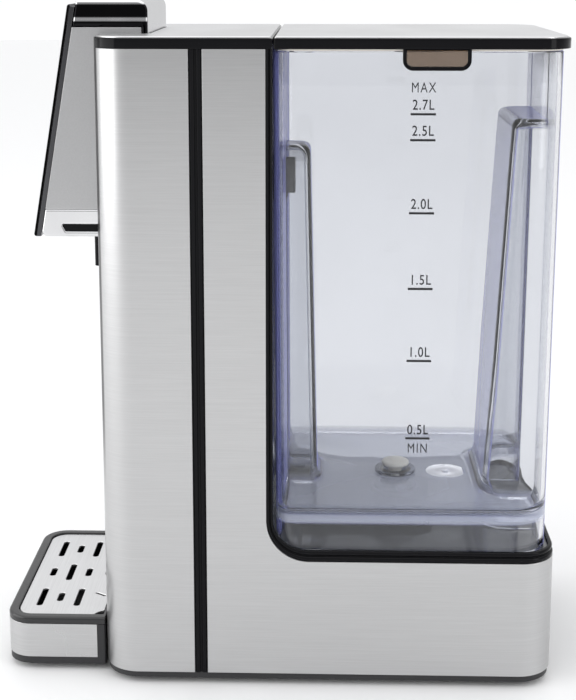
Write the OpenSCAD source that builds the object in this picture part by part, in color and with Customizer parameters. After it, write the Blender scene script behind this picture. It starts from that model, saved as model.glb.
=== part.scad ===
// Countertop hot water dispenser with a lift-off tank, a lift-off lid and a slide-out drip tray.
// Z is up, the front with the spout and tray faces -Y, and the tank stands at +Y.

/* [Body] */
// Width of the body across X
body_w = 138; // [130:1:146]
// Height of the deck's and lid's top above the table
deck_h = 305.7; // [295:0.1:320]
// Y of the body's front plane
body_front = -82.4; // [-84:0.1:-80]
// Y of the body's rear plane
body_rear = 131; // [128:0.1:134]
// Corner radius of the body in plan
body_r = 17; // [14:0.5:20]
// Thickness of the steel panels
panel_t = 1; // [0.8:0.1:1.2]
// Height of the deck band and the lid band
band_h = 5.5; // [5:0.1:6]

/* [Cradle] */
// Y of the steel edge of the upright column
column_rear = -4.6; // [-6:0.1:-4]
// Height of the steel edge of the base under the tank
ledge_z = 62.4; // [60:0.1:64]
// Radius of the concave corner between column and base
ledge_r = 20; // [18:0.5:22]

/* [Tank] */
// Outer width of the tank
tank_w = 132.8; // [128:0.2:133]
// Height of the tank's skirt above the table
skirt_z = 66; // [65:0.1:67]
// Height of the underside of the tank's floor
tank_floor = 81.5; // [80:0.1:83]
// Wall thickness of the tank
tank_wall = 2.2; // [2:0.1:2.6]
// Y of the water valve's axis
valve_y = 58.3; // [54:0.1:62]

/* [Head] */
// Width of the dispensing head
head_w = 79; // [76:1:82]
// Height of the head's top
head_top = 320.8; // [316:0.1:324]
// Height of the head's underside
head_bottom = 211; // [208:0.5:214]
// Y of the head's front edge at the bottom
head_front_low = -115; // [-117:0.5:-113]
// Y of the head's front edge at the top
head_front_high = -96; // [-98:0.5:-94]
// Y of the head's rear plane
head_rear = -59.5; // [-62:0.5:-58]

/* [Tray] */
// Width of the drip tray
tray_w = 112; // [106:1:116]
// Y of the tray's front
tray_front = -131.8; // [-134:0.1:-128]
// Height of the tray's rim
tray_h = 27; // [25:0.5:29]
// Corner radius of the tray's front
tray_r = 12.5; // [10:0.5:15]

/* [Hidden] */
$fn = 64;
eps = 0.01;
big = 400;

body_half = body_w / 2;
foot_h = 3;
rim_top = 6;
steel_top = deck_h - band_h;
seam_y = -1.3;
strip_front = -38.6;
strip_rear = -32.5;
trim_in = 3;
trim_top = ledge_z + 5.3;
tank_half = tank_w / 2;
tank_front = 0;
tank_rear = 128.3;
tank_top = steel_top - 1.2;
floor_top = tank_floor + tank_wall;
tray_half = tray_w / 2;
tray_rear = -83;
head_half = head_w / 2;
head_slope = (head_front_high - head_front_low) / (head_top - head_bottom);
lift_gap = 0.3;

// ---- shapes that repeat ----

// A plan outline centred on X with its own front and rear corner radii
module plan(half, y0, y1, rf, rr) {
    translate([-half, y0 + rf]) square([2 * half, y1 - y0 - rf - rr]);
    if (rf > 0) {
        translate([-half + rf, y0]) square([2 * (half - rf), rf + 1]);
        for (s = [-1, 1]) translate([s * (half - rf), y0 + rf]) circle(r = rf);
    }
    if (rr > 0) {
        translate([-half + rr, y1 - rr - 1]) square([2 * (half - rr), rr + 1]);
        for (s = [-1, 1]) translate([s * (half - rr), y1 - rr]) circle(r = rr);
    }
}

// A solid slab with that outline between two heights
module slab(half, y0, y1, rf, rr, z0, z1) {
    translate([0, 0, z0]) linear_extrude(z1 - z0) plan(half, y0, y1, rf, rr);
}

// A wall that follows that outline, of thickness t inwards
module ring(half, y0, y1, rf, rr, t, z0, z1) {
    translate([0, 0, z0]) linear_extrude(z1 - z0) difference() {
        plan(half, y0, y1, rf, rr);
        plan(half - t, y0 + t, y1 - t, max(rf - t, 0), max(rr - t, 0));
    }
}

// Points given as [Y, Z] in side view, extruded over X from x0 to x1
module side(x0, x1) {
    translate([x0, 0, 0]) rotate([90, 0, 90]) linear_extrude(x1 - x0) children();
}

// A box given by its two corners
module block(lo, hi) {
    translate(lo) cube(hi - lo);
}

// A round bar along Y
module bar_y(x, z, y0, y1, r) {
    translate([x, y0, z]) rotate([-90, 0, 0]) cylinder(h = y1 - y0, r = r);
}

// A round bar along X
module bar_x(y, z, x0, x1, r) {
    translate([x0, y, z]) rotate([0, 90, 0]) cylinder(h = x1 - x0, r = r);
}

// A slot with round ends along X, centred on [x, y]
module slot_x(x, y, len, w) {
    translate([x - len / 2 + w / 2, y - w / 2]) square([len - w, w]);
    for (s = [-1, 1]) translate([x + s * (len - w) / 2, y]) circle(d = w, $fn = 24);
}

// ---- housing: outside ----

// Side outline of the body's steel: an upright column and a low base with a concave corner
module steel_profile(y0) {
    corner_y = column_rear + ledge_r;
    corner_z = ledge_z + ledge_r;
    translate([y0, rim_top]) square([column_rear - y0, steel_top - rim_top]);
    translate([y0, rim_top]) square([body_rear + 1 - y0, ledge_z - rim_top]);
    difference() {
        translate([column_rear - 1, ledge_z - 1]) square([ledge_r + 1, ledge_r + 1]);
        translate([corner_y, corner_z]) circle(r = ledge_r, $fn = 96);
    }
}

// The same outline, grown into the cradle by the trim's width
module trim_profile() {
    inner_r = ledge_r - 4;
    edge_y = column_rear + trim_in;
    corner_y = edge_y + inner_r;
    corner_z = trim_top + inner_r;
    translate([column_rear - 8, rim_top]) square([edge_y - column_rear + 8, steel_top - rim_top]);
    translate([column_rear - 8, rim_top]) square([body_rear + 10 - column_rear, trim_top - rim_top]);
    difference() {
        translate([edge_y - 1, trim_top - 1]) square([inner_r + 1, inner_r + 1]);
        translate([corner_y, corner_z]) circle(r = inner_r, $fn = 96);
    }
}

tongue_x = 26;
tongue_z = 10;
screw_x = 52;
screw_y = [-66, 112];
slot_half = 7;
slot_z = [7.5, 13.5];

// The two openings that the tray's tongues slide into, cut to that depth behind the front plane
module tongue_slots(depth) {
    for (s = [-1, 1])
        block([s * tongue_x - slot_half, body_front - 2, slot_z[0]],
            [s * tongue_x + slot_half, body_front + depth, slot_z[1]]);
}

module base_pan() {
    inset = 0.8;
    color([0.04, 0.04, 0.045]) difference() {
        union() {
            slab(body_half - inset, body_front + inset, body_rear - inset, body_r - inset, body_r - inset,
                foot_h, rim_top);
            ring(body_half - panel_t - 0.1, body_front + panel_t + 0.1, body_rear - panel_t - 0.1,
                body_r - panel_t, body_r - panel_t, 1.8, rim_top - eps, 16);
            for (s = [-1, 1], y = screw_y) translate([s * screw_x, y, rim_top - eps]) cylinder(h = 8, r = 4);
        }
        for (i = [-4 : 4]) translate([i * 7, 30, foot_h - 1])
            linear_extrude(6) rotate(90) slot_x(0, 0, 40, 2.4);
        tongue_slots(14.4);
        for (s = [-1, 1], y = screw_y) translate([s * screw_x, y, foot_h - 1]) cylinder(h = 14, r = 1.3);
        block([-52.3, body_rear - 4, rim_top + 0.1], [52.3, body_rear + 1, 17]);
    }
}

foot_y = [-62, 108];

module feet() {
    color([0.08, 0.08, 0.08]) for (s = [-1, 1], y = foot_y)
        translate([s * 38, y, 0]) cylinder(h = foot_h, r = 8);
}

module front_wrap() {
    color([0.75, 0.75, 0.76]) difference() {
        intersection() {
            ring(body_half, body_front, body_rear, body_r, body_r, panel_t, rim_top, steel_top);
            block([-big, body_front - 1, 0], [big, strip_front, big]);
        }
        block([-24, body_front - 1, 236], [24, body_front + 3, 292]);
        tongue_slots(3);
    }
}

// The L-shaped steel side: flat beside the column and base, wrapped round the rear corner
module side_panel() {
    intersection() {
        ring(body_half, body_front, body_rear, body_r, body_r, panel_t, rim_top, steel_top);
        side(body_half - body_r, body_half + 1) steel_profile(strip_rear);
    }
}

module side_panel_right() {
    color([0.74, 0.74, 0.75]) side_panel();
}

module side_panel_left() {
    color([0.74, 0.74, 0.75]) mirror([1, 0, 0]) side_panel();
}

// Upright black strip with two ribs, standing in the gap between the steel panels
module accent_strip() {
    w = strip_rear - strip_front;
    rib = 1.7;
    rib_gap = 0.9;
    base_t = 0.6;
    rib_t = 0.9;
    x = body_half - panel_t;
    translate([0, 0, rim_top]) linear_extrude(steel_top - rim_top) {
        translate([x, strip_front]) square([base_t, w]);
        translate([x, strip_front + rib_gap]) square([rib_t, rib]);
        translate([x, strip_front + w - rib_gap - rib]) square([rib_t, rib]);
    }
    translate([x - 1.5, strip_front + 1, 20]) cube([1.5 + eps, w - 2, steel_top - 24]);
}

module accent_strip_right() {
    color([0.02, 0.02, 0.025]) accent_strip();
}

module accent_strip_left() {
    color([0.02, 0.02, 0.025]) mirror([1, 0, 0]) accent_strip();
}

// Gloss edge round the cradle: a lower bead flush with the steel and an upper bead set in
module cradle_trim() {
    groove = 0.5;
    color([0.02, 0.02, 0.025]) difference() {
        intersection() {
            ring(body_half, body_front, body_rear, body_r, body_r, 2.2, ledge_z - 30, steel_top);
            side(-big, big) difference() {
                trim_profile();
                steel_profile(-60);
                translate([-big, -eps]) square([big + column_rear - 0.5 * eps, big]);
            }
        }
        side(body_half - groove, body_half + 1) trim_groove();
        side(-body_half - 1, -body_half + groove) trim_groove();
    }
}

// The middle line of the trim, cut as a shallow groove
module trim_groove() {
    half_w = 0.35;
    mid_y = column_rear + 1.4;
    mid_z = ledge_z + 2.6;
    r = ledge_r - 2;
    translate([mid_y - half_w, mid_z + r]) square([2 * half_w, steel_top - mid_z - r + 1]);
    translate([mid_y + r, mid_z - half_w]) square([body_rear - body_r - mid_y - r, 2 * half_w]);
    intersection() {
        translate([mid_y - 1, mid_z - 1]) square([r + 1, r + 1]);
        difference() {
            translate([mid_y + r, mid_z + r]) circle(r = r + half_w, $fn = 96);
            translate([mid_y + r, mid_z + r]) circle(r = r - half_w, $fn = 96);
        }
    }
}

seat_half = body_half - 2.3;
seat_t = 2.5;
seat_z = skirt_z - lift_gap;
plateau_z = 71;
cup_r = 12.4;
cove_r = 14;

// Black moulding that the tank stands in: the column's back wall, the seat and its raised middle
module tank_cradle() {
    color([0.06, 0.06, 0.065]) difference() {
        union() {
            block([-seat_half, column_rear, 58], [seat_half, column_rear + 2.4, steel_top]);
            slab(seat_half, column_rear, body_rear - 2.3, 0.5, body_r - 2.3, seat_z - seat_t, seat_z);
            slab(30, column_rear + 1, 76, 0.5, 10, seat_z - eps, plateau_z);
            side(-seat_half, seat_half) difference() {
                translate([column_rear + 2, seat_z - 0.5]) square([cove_r + 0.4, cove_r + 0.5]);
                translate([column_rear + 2.4 + cove_r, seat_z + cove_r]) circle(r = cove_r, $fn = 96);
            }
        }
        translate([0, valve_y, 40]) cylinder(h = 60, r = cup_r);
        block([-28, column_rear + 3, seat_z - seat_t - 1], [28, 74, plateau_z - 2]);
        side(-14, 14) translate([column_rear - 1, 90]) square([1.6, 60]);
    }
}

// Hook on the column that steadies the tank through its front channel
module tank_hook() {
    color([0.12, 0.12, 0.13]) side(-5, 5) {
        translate([column_rear + 2.4, 225]) square([4.6, 20.5]);
        translate([column_rear + 4, 227]) square([8, 18.5]);
        translate([column_rear + 2.4, 223]) square([3.2, 4]);
    }
}

gland_x = 36;
gland_z = 24;

module rear_cover() {
    half = body_half - body_r - 0.3;
    vent_pitch = 5;
    color([0.05, 0.05, 0.055]) difference() {
        union() {
            block([-half, body_rear - 2, rim_top + 0.2], [half, body_rear - 0.2, ledge_z]);
            slab(half - 2, body_rear - 3.2, body_rear - 1, 0, 0, rim_top + 10.3, ledge_z - 1);
        }
        bar_y(gland_x, gland_z, body_rear - 5, body_rear + 2, 8);
        for (i = [0 : 6]) block([-40, body_rear - 5, 20 + i * vent_pitch], [4, body_rear + 2, 22 + i * vent_pitch]);
    }
}

module cord_gland() {
    color([0.03, 0.03, 0.03]) difference() {
        union() {
            bar_y(gland_x, gland_z, body_rear - 6, body_rear - 0.2, 7.9);
            bar_y(gland_x, gland_z, body_rear - 0.2, body_rear + 0.8, 9.5);
        }
        bar_y(gland_x, gland_z, body_rear - 7, body_rear + 2, 3.6);
    }
}

notch_half = head_half + 0.3;

module deck_band() {
    color([0.02, 0.02, 0.025]) difference() {
        slab(body_half, body_front, seam_y - 0.3, body_r, 0, steel_top, deck_h - 0.7);
        block([-notch_half, body_front - 1, steel_top - 1], [notch_half, head_rear + 0.3, deck_h + 1]);
        block([-48, head_rear + 12, steel_top - 1], [48, -16, steel_top + 2]);
    }
}

module deck_plate() {
    inset = 1.3;
    color([0.82, 0.82, 0.83]) difference() {
        slab(body_half - inset, body_front + inset, seam_y - 0.9, body_r - inset, 0, deck_h - 0.7, deck_h);
        block([-notch_half - 0.6, body_front - 1, steel_top - 1], [notch_half + 0.6, head_rear + 0.9, deck_h + 1]);
    }
}

// ---- housing: inside ----

frame_y = -24;

// Upright white moulding that carries the heater and the boards
module inner_frame() {
    color([0.9, 0.9, 0.88]) difference() {
        union() {
            block([-58, frame_y, rim_top], [58, frame_y + 3, 296]);
            for (s = [-1, 1]) block([s * 58 - 3, frame_y - 24, rim_top], [s * 58, frame_y + 1, 296]);
            block([-58, frame_y - 24, 292], [55, frame_y + 1, 296]);
            for (s = [-1, 1]) block([s * 56 - 3, frame_y + 2, rim_top + 2], [s * 56 + 1, 100, 18]);
        }
        block([-30, frame_y - 1, 20], [30, frame_y + 4, 58]);
        for (z = [80, 150, 220]) translate([0, frame_y - 1, z]) rotate([-90, 0, 0]) cylinder(h = 6, r = 12);
    }
}

pump_x = 22;
pump_z = 32;
pump_y = 52;
hose_r = 4;

module inlet_coupling() {
    color([0.2, 0.2, 0.22]) {
        difference() {
            union() {
                translate([0, valve_y, 58]) cylinder(h = 16, r = cup_r - 0.05);
                translate([0, valve_y, 46]) cylinder(h = 13, r = 3);
            }
            translate([0, valve_y, 60]) cylinder(h = 20, r = 10.6);
            translate([0, valve_y, 44]) cylinder(h = 20, r = 2);
        }
        for (a = [0, 120, 240]) translate([0, valve_y, 0]) rotate(a) block([1.2, -0.7, 60 - eps], [11, 0.7, 62]);
        translate([0, valve_y, 60 - eps]) cylinder(h = 9.2, r = 1.6);
    }
}

module coupling_seal() {
    color([0.75, 0.3, 0.2]) translate([0, valve_y, 62]) rotate_extrude() translate([7.6, 0]) square([3, 7.5]);
}

// A bend of a hose of radius hose_r: a quarter of a torus of radius r
module elbow(r) {
    rotate_extrude(angle = 90) translate([r, 0]) circle(r = hose_r, $fn = 32);
}

module suction_hose() {
    r = 12;
    color([0.93, 0.9, 0.86]) difference() {
        union() {
            translate([0, valve_y, pump_z + r]) cylinder(h = 58 - pump_z - r - 1, r = hose_r);
            translate([r, valve_y, pump_z + r]) rotate([90, 0, 0]) rotate(180) elbow(r);
            bar_x(valve_y, pump_z, r, pump_x - 1, hose_r);
        }
        translate([0, valve_y, 45]) cylinder(h = 20, r = 3.02);
    }
}

module pump() {
    color([0.25, 0.25, 0.27]) {
        translate([pump_x + 14, 0, 0]) {
            bar_y(0, pump_z, pump_y - 4, pump_y + 16, 15);
            bar_y(0, pump_z, pump_y - 36, pump_y - 4, 12);
            bar_y(0, pump_z, pump_y - 39, pump_y - 36, 5);
            bar_y(0, pump_z + 8, pump_y + 16, pump_y + 26, 3);
        }
    }
}

module pump_mounts() {
    color([0.1, 0.1, 0.1]) for (y = [pump_y - 30, pump_y - 14]) difference() {
        union() {
            translate([pump_x + 14, y, pump_z]) rotate([-90, 0, 0]) cylinder(h = 6, r = 15);
            block([pump_x + 2, y, rim_top], [pump_x + 26, y + 6, pump_z]);
        }
        bar_y(pump_x + 14, pump_z, y - 1, y + 7, 12);
    }
}

meter_x = -20;
meter_z = 30;

// From the pump's outlet over to the flow meter
module pump_hose() {
    z = pump_z + 8;
    y = pump_y + 30;
    color([0.93, 0.9, 0.86]) difference() {
        union() {
            bar_y(pump_x + 14, z, pump_y + 17, y, hose_r);
            translate([pump_x + 14, y, z]) sphere(r = hose_r);
            bar_x(y, z, meter_x, pump_x + 14, hose_r);
            translate([meter_x, y, z]) sphere(r = hose_r);
            bar_y(meter_x, z, 32, y, hose_r);
        }
        bar_y(pump_x + 14, z, pump_y + 16, pump_y + 27, 3.02);
        bar_y(meter_x, z, 31, 42, 3.02);
    }
}

module flow_meter() {
    z = pump_z + 8;
    color([0.15, 0.3, 0.55]) {
        block([meter_x - 11, 8, z - 13], [meter_x + 11, 30, z + 13]);
        bar_x(19, z, meter_x - 14, meter_x + 14, 9);
        bar_y(meter_x, z, 30 - eps, 40, 3);
        bar_y(meter_x, z, -2, 8 + eps, 3);
    }
}

heater_y = -56;
heater_low = 110;
heater_high = 222;

// From the flow meter through the column up to the heater's inlet
module riser_hose() {
    z = pump_z + 8;
    color([0.93, 0.9, 0.86]) difference() {
        union() {
            bar_y(meter_x, z, heater_y, 0, hose_r);
            translate([meter_x, heater_y, z]) sphere(r = hose_r);
            translate([meter_x, heater_y, z]) cylinder(h = heater_low - z - 2, r = hose_r);
        }
        bar_y(meter_x, z, -2.1, 1, 3.02);
        translate([meter_x, heater_y, heater_low - 12]) cylinder(h = 12, r = 3.02);
    }
}

module heater() {
    color([0.7, 0.7, 0.72]) {
        block([-28, heater_y - 14, heater_low + 6], [28, heater_y + 14, heater_high - 6]);
        for (x = [-20, 0, 20]) translate([x, heater_y, heater_low]) cylinder(h = heater_high - heater_low, r = 8);
        translate([meter_x, heater_y, heater_low - 10]) cylinder(h = 12, r = 3);
        translate([20, heater_y, heater_high - 2]) cylinder(h = 12, r = 3);
        for (z = [128 : 12 : 206]) block([-30, heater_y - 16, z], [30, heater_y + 15, z + 3]);
    }
}

module heater_bracket() {
    color([0.6, 0.6, 0.62]) for (z = [134, 182]) difference() {
        block([-34, heater_y - 18, z], [34, frame_y, z + 8]);
        block([-32, heater_y - 16.1, z - 1], [32, frame_y - 2, z + 9]);
    }
}

module thermostats() {
    color([0.85, 0.8, 0.7]) for (z = [150, 198]) {
        translate([32.2, heater_y, z + 1.5]) rotate([0, 90, 0]) cylinder(h = 5, r = 7);
        translate([30.05, heater_y, z + 1.5]) rotate([0, 90, 0]) cylinder(h = 2.2, r = 5);
        block([37, heater_y - 5, z - 2], [43, heater_y - 2, z + 5]);
    }
}

spout_y = -87.6;
drop_y = -89.8;
outlet_z = 262;

// From the heater's outlet through the front to the spout
module outlet_hose() {
    color([0.93, 0.9, 0.86]) difference() {
        union() {
            translate([20, heater_y, heater_high]) cylinder(h = outlet_z - heater_high, r = hose_r);
            translate([20, heater_y, outlet_z]) sphere(r = hose_r);
            bar_y(20, outlet_z, drop_y, heater_y, hose_r);
            translate([20, drop_y, outlet_z]) sphere(r = hose_r);
            bar_x(drop_y, outlet_z, 0, 20, hose_r);
            translate([0, drop_y, outlet_z]) sphere(r = hose_r);
            translate([0, drop_y, 222]) cylinder(h = outlet_z - 222, r = hose_r);
        }
        translate([20, heater_y, heater_high - 1]) cylinder(h = 11, r = 3.02);
        translate([0, drop_y, 221]) cylinder(h = 11, r = 3.02);
    }
}

module clamp_band(r) {
    rotate_extrude() translate([r, 0]) square([0.9, 4]);
}

module hose_clamps() {
    z = pump_z + 8;
    color([0.55, 0.56, 0.58]) {
        translate([0, valve_y, 48]) clamp_band(hose_r + 0.02);
        translate([pump_x + 14, pump_y + 24, z]) rotate([90, 0, 0]) clamp_band(hose_r + 0.02);
        translate([meter_x, 39, z]) rotate([90, 0, 0]) clamp_band(hose_r + 0.02);
        translate([20, heater_y, heater_high + 3]) clamp_band(hose_r + 0.02);
        translate([0, drop_y, 225]) clamp_band(hose_r + 0.02);
    }
}

module power_board() {
    color([0.1, 0.35, 0.2]) block([-50, frame_y + 5, 90], [50, frame_y + 6.6, 190]);
    color([0.1, 0.35, 0.2]) for (x = [-46, 46], z = [94, 186]) bar_y(x, z, frame_y + 3, frame_y + 5, 3);
}

module power_parts() {
    y = frame_y + 6.6;
    color([0.2, 0.2, 0.2]) {
        block([-44, y, 150], [-26, y + 11, 180]);
        block([-20, y, 150], [-2, y + 11, 170]);
        block([6, y, 100], [44, y + 10, 124]);
        for (x = [14, 32]) bar_y(x, 160, y, y + 12, 7);
        block([-44, y, 98], [-20, y + 10, 112]);
    }
}

module level_sensor_board() {
    color([0.1, 0.35, 0.2]) block([-12, column_rear - 1.2, 92], [12, column_rear + 0.4, 148]);
}

module case_screws() {
    color([0.6, 0.6, 0.62]) for (s = [-1, 1], y = screw_y) translate([s * screw_x, y, foot_h - 0.4]) {
        cylinder(h = 11, r = 1.25);
        cylinder(h = 0.4, r = 2.6);
    }
}

// ---- dispensing head ----

// Y of the head's sloping front at height z
function head_y(z) = head_front_low + (z - head_bottom) * head_slope;

module head_outline(inset_front, z0, z1, rear) {
    polygon([[head_y(z0) + inset_front, z0], [rear, z0], [rear, z1], [head_y(z1) + inset_front, z1]]);
}

glass_t = 1.4;
glass_frame_t = 2.2;
front_stack = glass_t + glass_frame_t;
band_top = 223.8;
cap_low = 308.4;
face_y = body_front - 0.1;

module head_core() {
    color([0.1, 0.1, 0.11]) difference() {
        side(-head_half + 2, head_half - 2) {
            head_outline(front_stack, band_top, steel_top, face_y);
            head_outline(front_stack, steel_top - eps, head_top - 6, head_rear - 3);
        }
        side(-head_half + 4.4, head_half - 4.4) {
            head_outline(front_stack - 1, band_top - 1, steel_top, face_y - 2);
            head_outline(front_stack - 1, steel_top - 1, head_top - 8, head_rear - 5.4);
        }
        block([-24, face_y - 3, 236], [24, face_y + 1, 292]);
    }
}

module head_side() {
    side(head_half - 2, head_half) {
        head_outline(front_stack, band_top, steel_top, face_y);
        head_outline(front_stack, steel_top - eps, cap_low, head_rear - 3);
    }
}

module head_side_right() {
    color([0.68, 0.68, 0.7]) head_side();
}

module head_side_left() {
    color([0.68, 0.68, 0.7]) mirror([1, 0, 0]) head_side();
}

// Bright cap over the head with its rear leg down to the deck
module head_top_trim() {
    r = 5;
    y0 = head_y(head_top);
    color([0.85, 0.85, 0.86]) difference() {
        side(-head_half - 0.2, head_half + 0.2) {
            polygon([[head_y(cap_low) + front_stack, cap_low], [head_rear, cap_low],
                [head_rear, head_top - r], [y0 + front_stack, head_top - r]]);
            translate([y0 + front_stack, head_top - r - 1]) square([head_rear - r - y0 - front_stack, r + 1]);
            translate([head_rear - r, head_top - r]) circle(r = r, $fn = 48);
            translate([head_rear - 3, steel_top + 0.1]) square([3, cap_low - steel_top]);
        }
        side(-head_half + 2, head_half - 2) {
            polygon([[head_y(cap_low) + front_stack - 4, cap_low - 1], [head_rear - 2.9, cap_low - 1],
                [head_rear - 2.9, head_top - 5.9], [y0 + front_stack - 4, head_top - 5.9]]);
        }
    }
}

slot_low = 213.4;
slot_high = 216.8;
slot_front = -101.5;

module head_lower_band() {
    color([0.85, 0.85, 0.86]) difference() {
        side(-head_half - 0.2, head_half + 0.2) head_outline(front_stack, head_bottom, band_top, face_y);
        side(-head_half + 3, head_half - 3) head_outline(front_stack + 3, head_bottom + 2.5, band_top + 1, face_y - 2.5);
        for (s = [-1, 1]) side(s > 0 ? head_half - 1.3 : -head_half - 1, s > 0 ? head_half + 1 : -head_half + 1.3)
            slot_outline();
        translate([0, spout_y - 0.4, head_bottom - 1]) linear_extrude(5) square([12, 10], center = true);
    }
}

module slot_outline() {
    polygon([[slot_front + 1.6, slot_low], [face_y - 1, slot_low], [face_y - 1, slot_high], [slot_front, slot_high]]);
}

module slot_inserts() {
    color([0.02, 0.02, 0.02]) for (s = [-1, 1])
        side(s > 0 ? head_half - 1.28 : -head_half + 0.5, s > 0 ? head_half - 0.5 : -head_half + 1.28) slot_outline();
}

module touch_frame() {
    color([0.55, 0.55, 0.57]) difference() {
        side(-head_half, head_half) polygon([[head_y(head_bottom) + glass_t, head_bottom],
            [head_y(head_bottom) + front_stack - 0.05, head_bottom],
            [head_y(head_top - 3) + front_stack - 0.05, head_top - 3],
            [head_y(head_top - 3) + glass_t, head_top - 3]]);
        side(-30, 30) polygon([[head_y(236) - 5, 236], [head_y(236) + 9, 236],
            [head_y(300) + 9, 300], [head_y(300) - 5, 300]]);
    }
}

module touch_glass() {
    color([0.03, 0.03, 0.035]) side(-head_half - 0.2, head_half + 0.2)
        polygon([[head_y(head_bottom), head_bottom], [head_y(head_bottom) + glass_t - 0.05, head_bottom],
            [head_y(head_top - 2) + glass_t - 0.05, head_top - 2], [head_y(head_top - 2), head_top - 2]]);
}

module display_board() {
    color([0.1, 0.35, 0.2]) side(-28, 28) polygon([[head_y(240) + 5, 240], [head_y(240) + 6.6, 240],
        [head_y(296) + 6.6, 296], [head_y(296) + 5, 296]]);
}

module spout() {
    half = 5.8;
    color([0.05, 0.05, 0.055]) difference() {
        union() {
            translate([0, spout_y - 0.2, 190]) linear_extrude(head_bottom - 190 + 2.4) union() {
                square([2 * half - 4, 8.2], center = true);
                square([2 * half, 4.2], center = true);
                for (sx = [-1, 1], sy = [-1, 1]) translate([sx * (half - 2), sy * 2.1]) circle(r = 2);
            }
            translate([0, drop_y, 211]) cylinder(h = 20, r = 3);
        }
        translate([0, spout_y - 0.2, 189]) cylinder(h = 20, r = 3);
        translate([0, drop_y, 205]) cylinder(h = 27, r = 1.8);
    }
}

// ---- tank ----

channel_half = 12.5;
channel_low_y = 17;
channel_high_y = 12.6;
channel_top = 249;
recess_half = 32.4;
recess_low_y = 101;
recess_high_y = 111;
recess_top = 264;
bush_hole_r = 8;
channel_foot = 74;
toe_r = 14;

module tank_shell() {
    inner = tank_half - tank_wall;
    w = tank_wall;
    color([0.72, 0.75, 0.92, 0.35]) difference() {
        union() {
            difference() {
                slab(tank_half, tank_front, tank_rear, 8, body_r, skirt_z, tank_top);
                slab(inner, tank_front + w, tank_rear - w, 8 - w, body_r - w, floor_top, tank_top + 1);
                slab(inner, tank_front + w, tank_rear - w, 8 - w, body_r - w, skirt_z - 1, tank_floor);
            }
            side(-channel_half - w, channel_half + w) polygon([[tank_front + 0.5, channel_foot], [channel_low_y + w, channel_foot],
                [channel_high_y + w, channel_top + w], [tank_front + 0.5, channel_top + w]]);
            side(-recess_half - w, recess_half + w) polygon([[recess_low_y - w, tank_floor - 4], [tank_rear - 0.5, tank_floor - 4],
                [tank_rear - 0.5, recess_top + w], [recess_high_y - w, recess_top + w]]);
        }
        side(-channel_half, channel_half) polygon([[tank_front - 1, skirt_z - 1], [channel_low_y, skirt_z - 1],
            [channel_high_y, channel_top], [tank_front - 1, channel_top]]);
        side(-recess_half, recess_half) polygon([[recess_low_y, skirt_z - 1], [tank_rear + 1, skirt_z - 1],
            [tank_rear + 1, recess_top], [recess_high_y, recess_top]]);
        translate([0, valve_y, tank_floor - 1]) cylinder(h = 8, r = bush_hole_r);
        side(-tank_half - 1, tank_half + 1) difference() {
            translate([tank_front - 1, skirt_z - 1]) square([toe_r + 1, toe_r + 1]);
            translate([tank_front + toe_r, skirt_z + toe_r]) circle(r = toe_r, $fn = 96);
        }
    }
}

mark_z = [271.7, 260.2, 227.4, 192.8, 159.2, 122.4];
mark_y = 65;

// Printed level lines on the right wall
module level_marks() {
    color([0.03, 0.03, 0.03]) for (z = mark_z)
        block([tank_half, mark_y - 5.6, z - 0.5], [tank_half + 0.2, mark_y + 5.6, z + 0.5]);
}

// Clear bush through the floor, with a web that guides the plunger's stem
module valve_bushing() {
    color([0.85, 0.88, 0.92, 0.6]) translate([0, valve_y, 0]) difference() {
        union() {
            translate([0, 0, floor_top]) cylinder(h = 1.6, r = 10.2);
            translate([0, 0, 76]) cylinder(h = floor_top - 76 + 1, r = bush_hole_r);
        }
        translate([0, 0, 79]) cylinder(h = 10, r = 6);
        translate([0, 0, 75]) cylinder(h = 10, r = 2.25);
        for (a = [0 : 60 : 300]) rotate(a) translate([4.2, 0, 75]) cylinder(h = 10, r = 1.2);
    }
}

// Threaded ring that clamps the bush from below
module valve_collar() {
    color([0.55, 0.56, 0.58]) translate([0, valve_y, 70]) difference() {
        cylinder(h = tank_floor - 70, r = 10);
        translate([0, 0, -1]) cylinder(h = 20, r = bush_hole_r + 0.02);
    }
}

// White mushroom with its stem
module valve_plunger() {
    color([0.93, 0.93, 0.9]) translate([0, valve_y, 0]) rotate_extrude() polygon([[0, 69.8], [4, 69.8], [4, 70.8],
        [2.2, 70.8], [2.2, 84], [3.4, 84], [3.8, 85.8], [6.6, 87.2], [7, 88.2], [6.2, 89.2], [3, 89.8], [0, 90]]);
}

spring_low = 70.9;
spring_high = 75.9;

module valve_spring() {
    coils = 4;
    pitch = (spring_high - spring_low - 0.8) / (coils - 1);
    color([0.7, 0.7, 0.72]) translate([0, valve_y, spring_low + 0.4])
        for (i = [0 : coils - 1]) translate([0, 0, i * pitch])
            rotate_extrude() translate([3.2, 0]) circle(r = 0.35, $fn = 16);
}

// ---- lid ----

tab_y0 = 55.6;
tab_y1 = 85.6;
tab_low = 290.9;
tab_r = 4.5;
tab_frame = 1.7;
tab_x0 = tank_half + 0.4;
tab_x1 = body_half - 0.3;

module tab_outline(inset) {
    y0 = tab_y0 + inset;
    y1 = tab_y1 - inset;
    z0 = tab_low + inset;
    r = tab_r - inset;
    translate([y0 + r, z0]) square([y1 - y0 - 2 * r, steel_top + 0.5 - z0 - inset * 0.4]);
    translate([y0, z0 + r]) square([y1 - y0, steel_top + 0.5 - z0 - r - inset * 0.4]);
    for (y = [y0 + r, y1 - r]) translate([y, z0 + r]) circle(r = r, $fn = 48);
}

lid_front = seam_y + 0.3;

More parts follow.
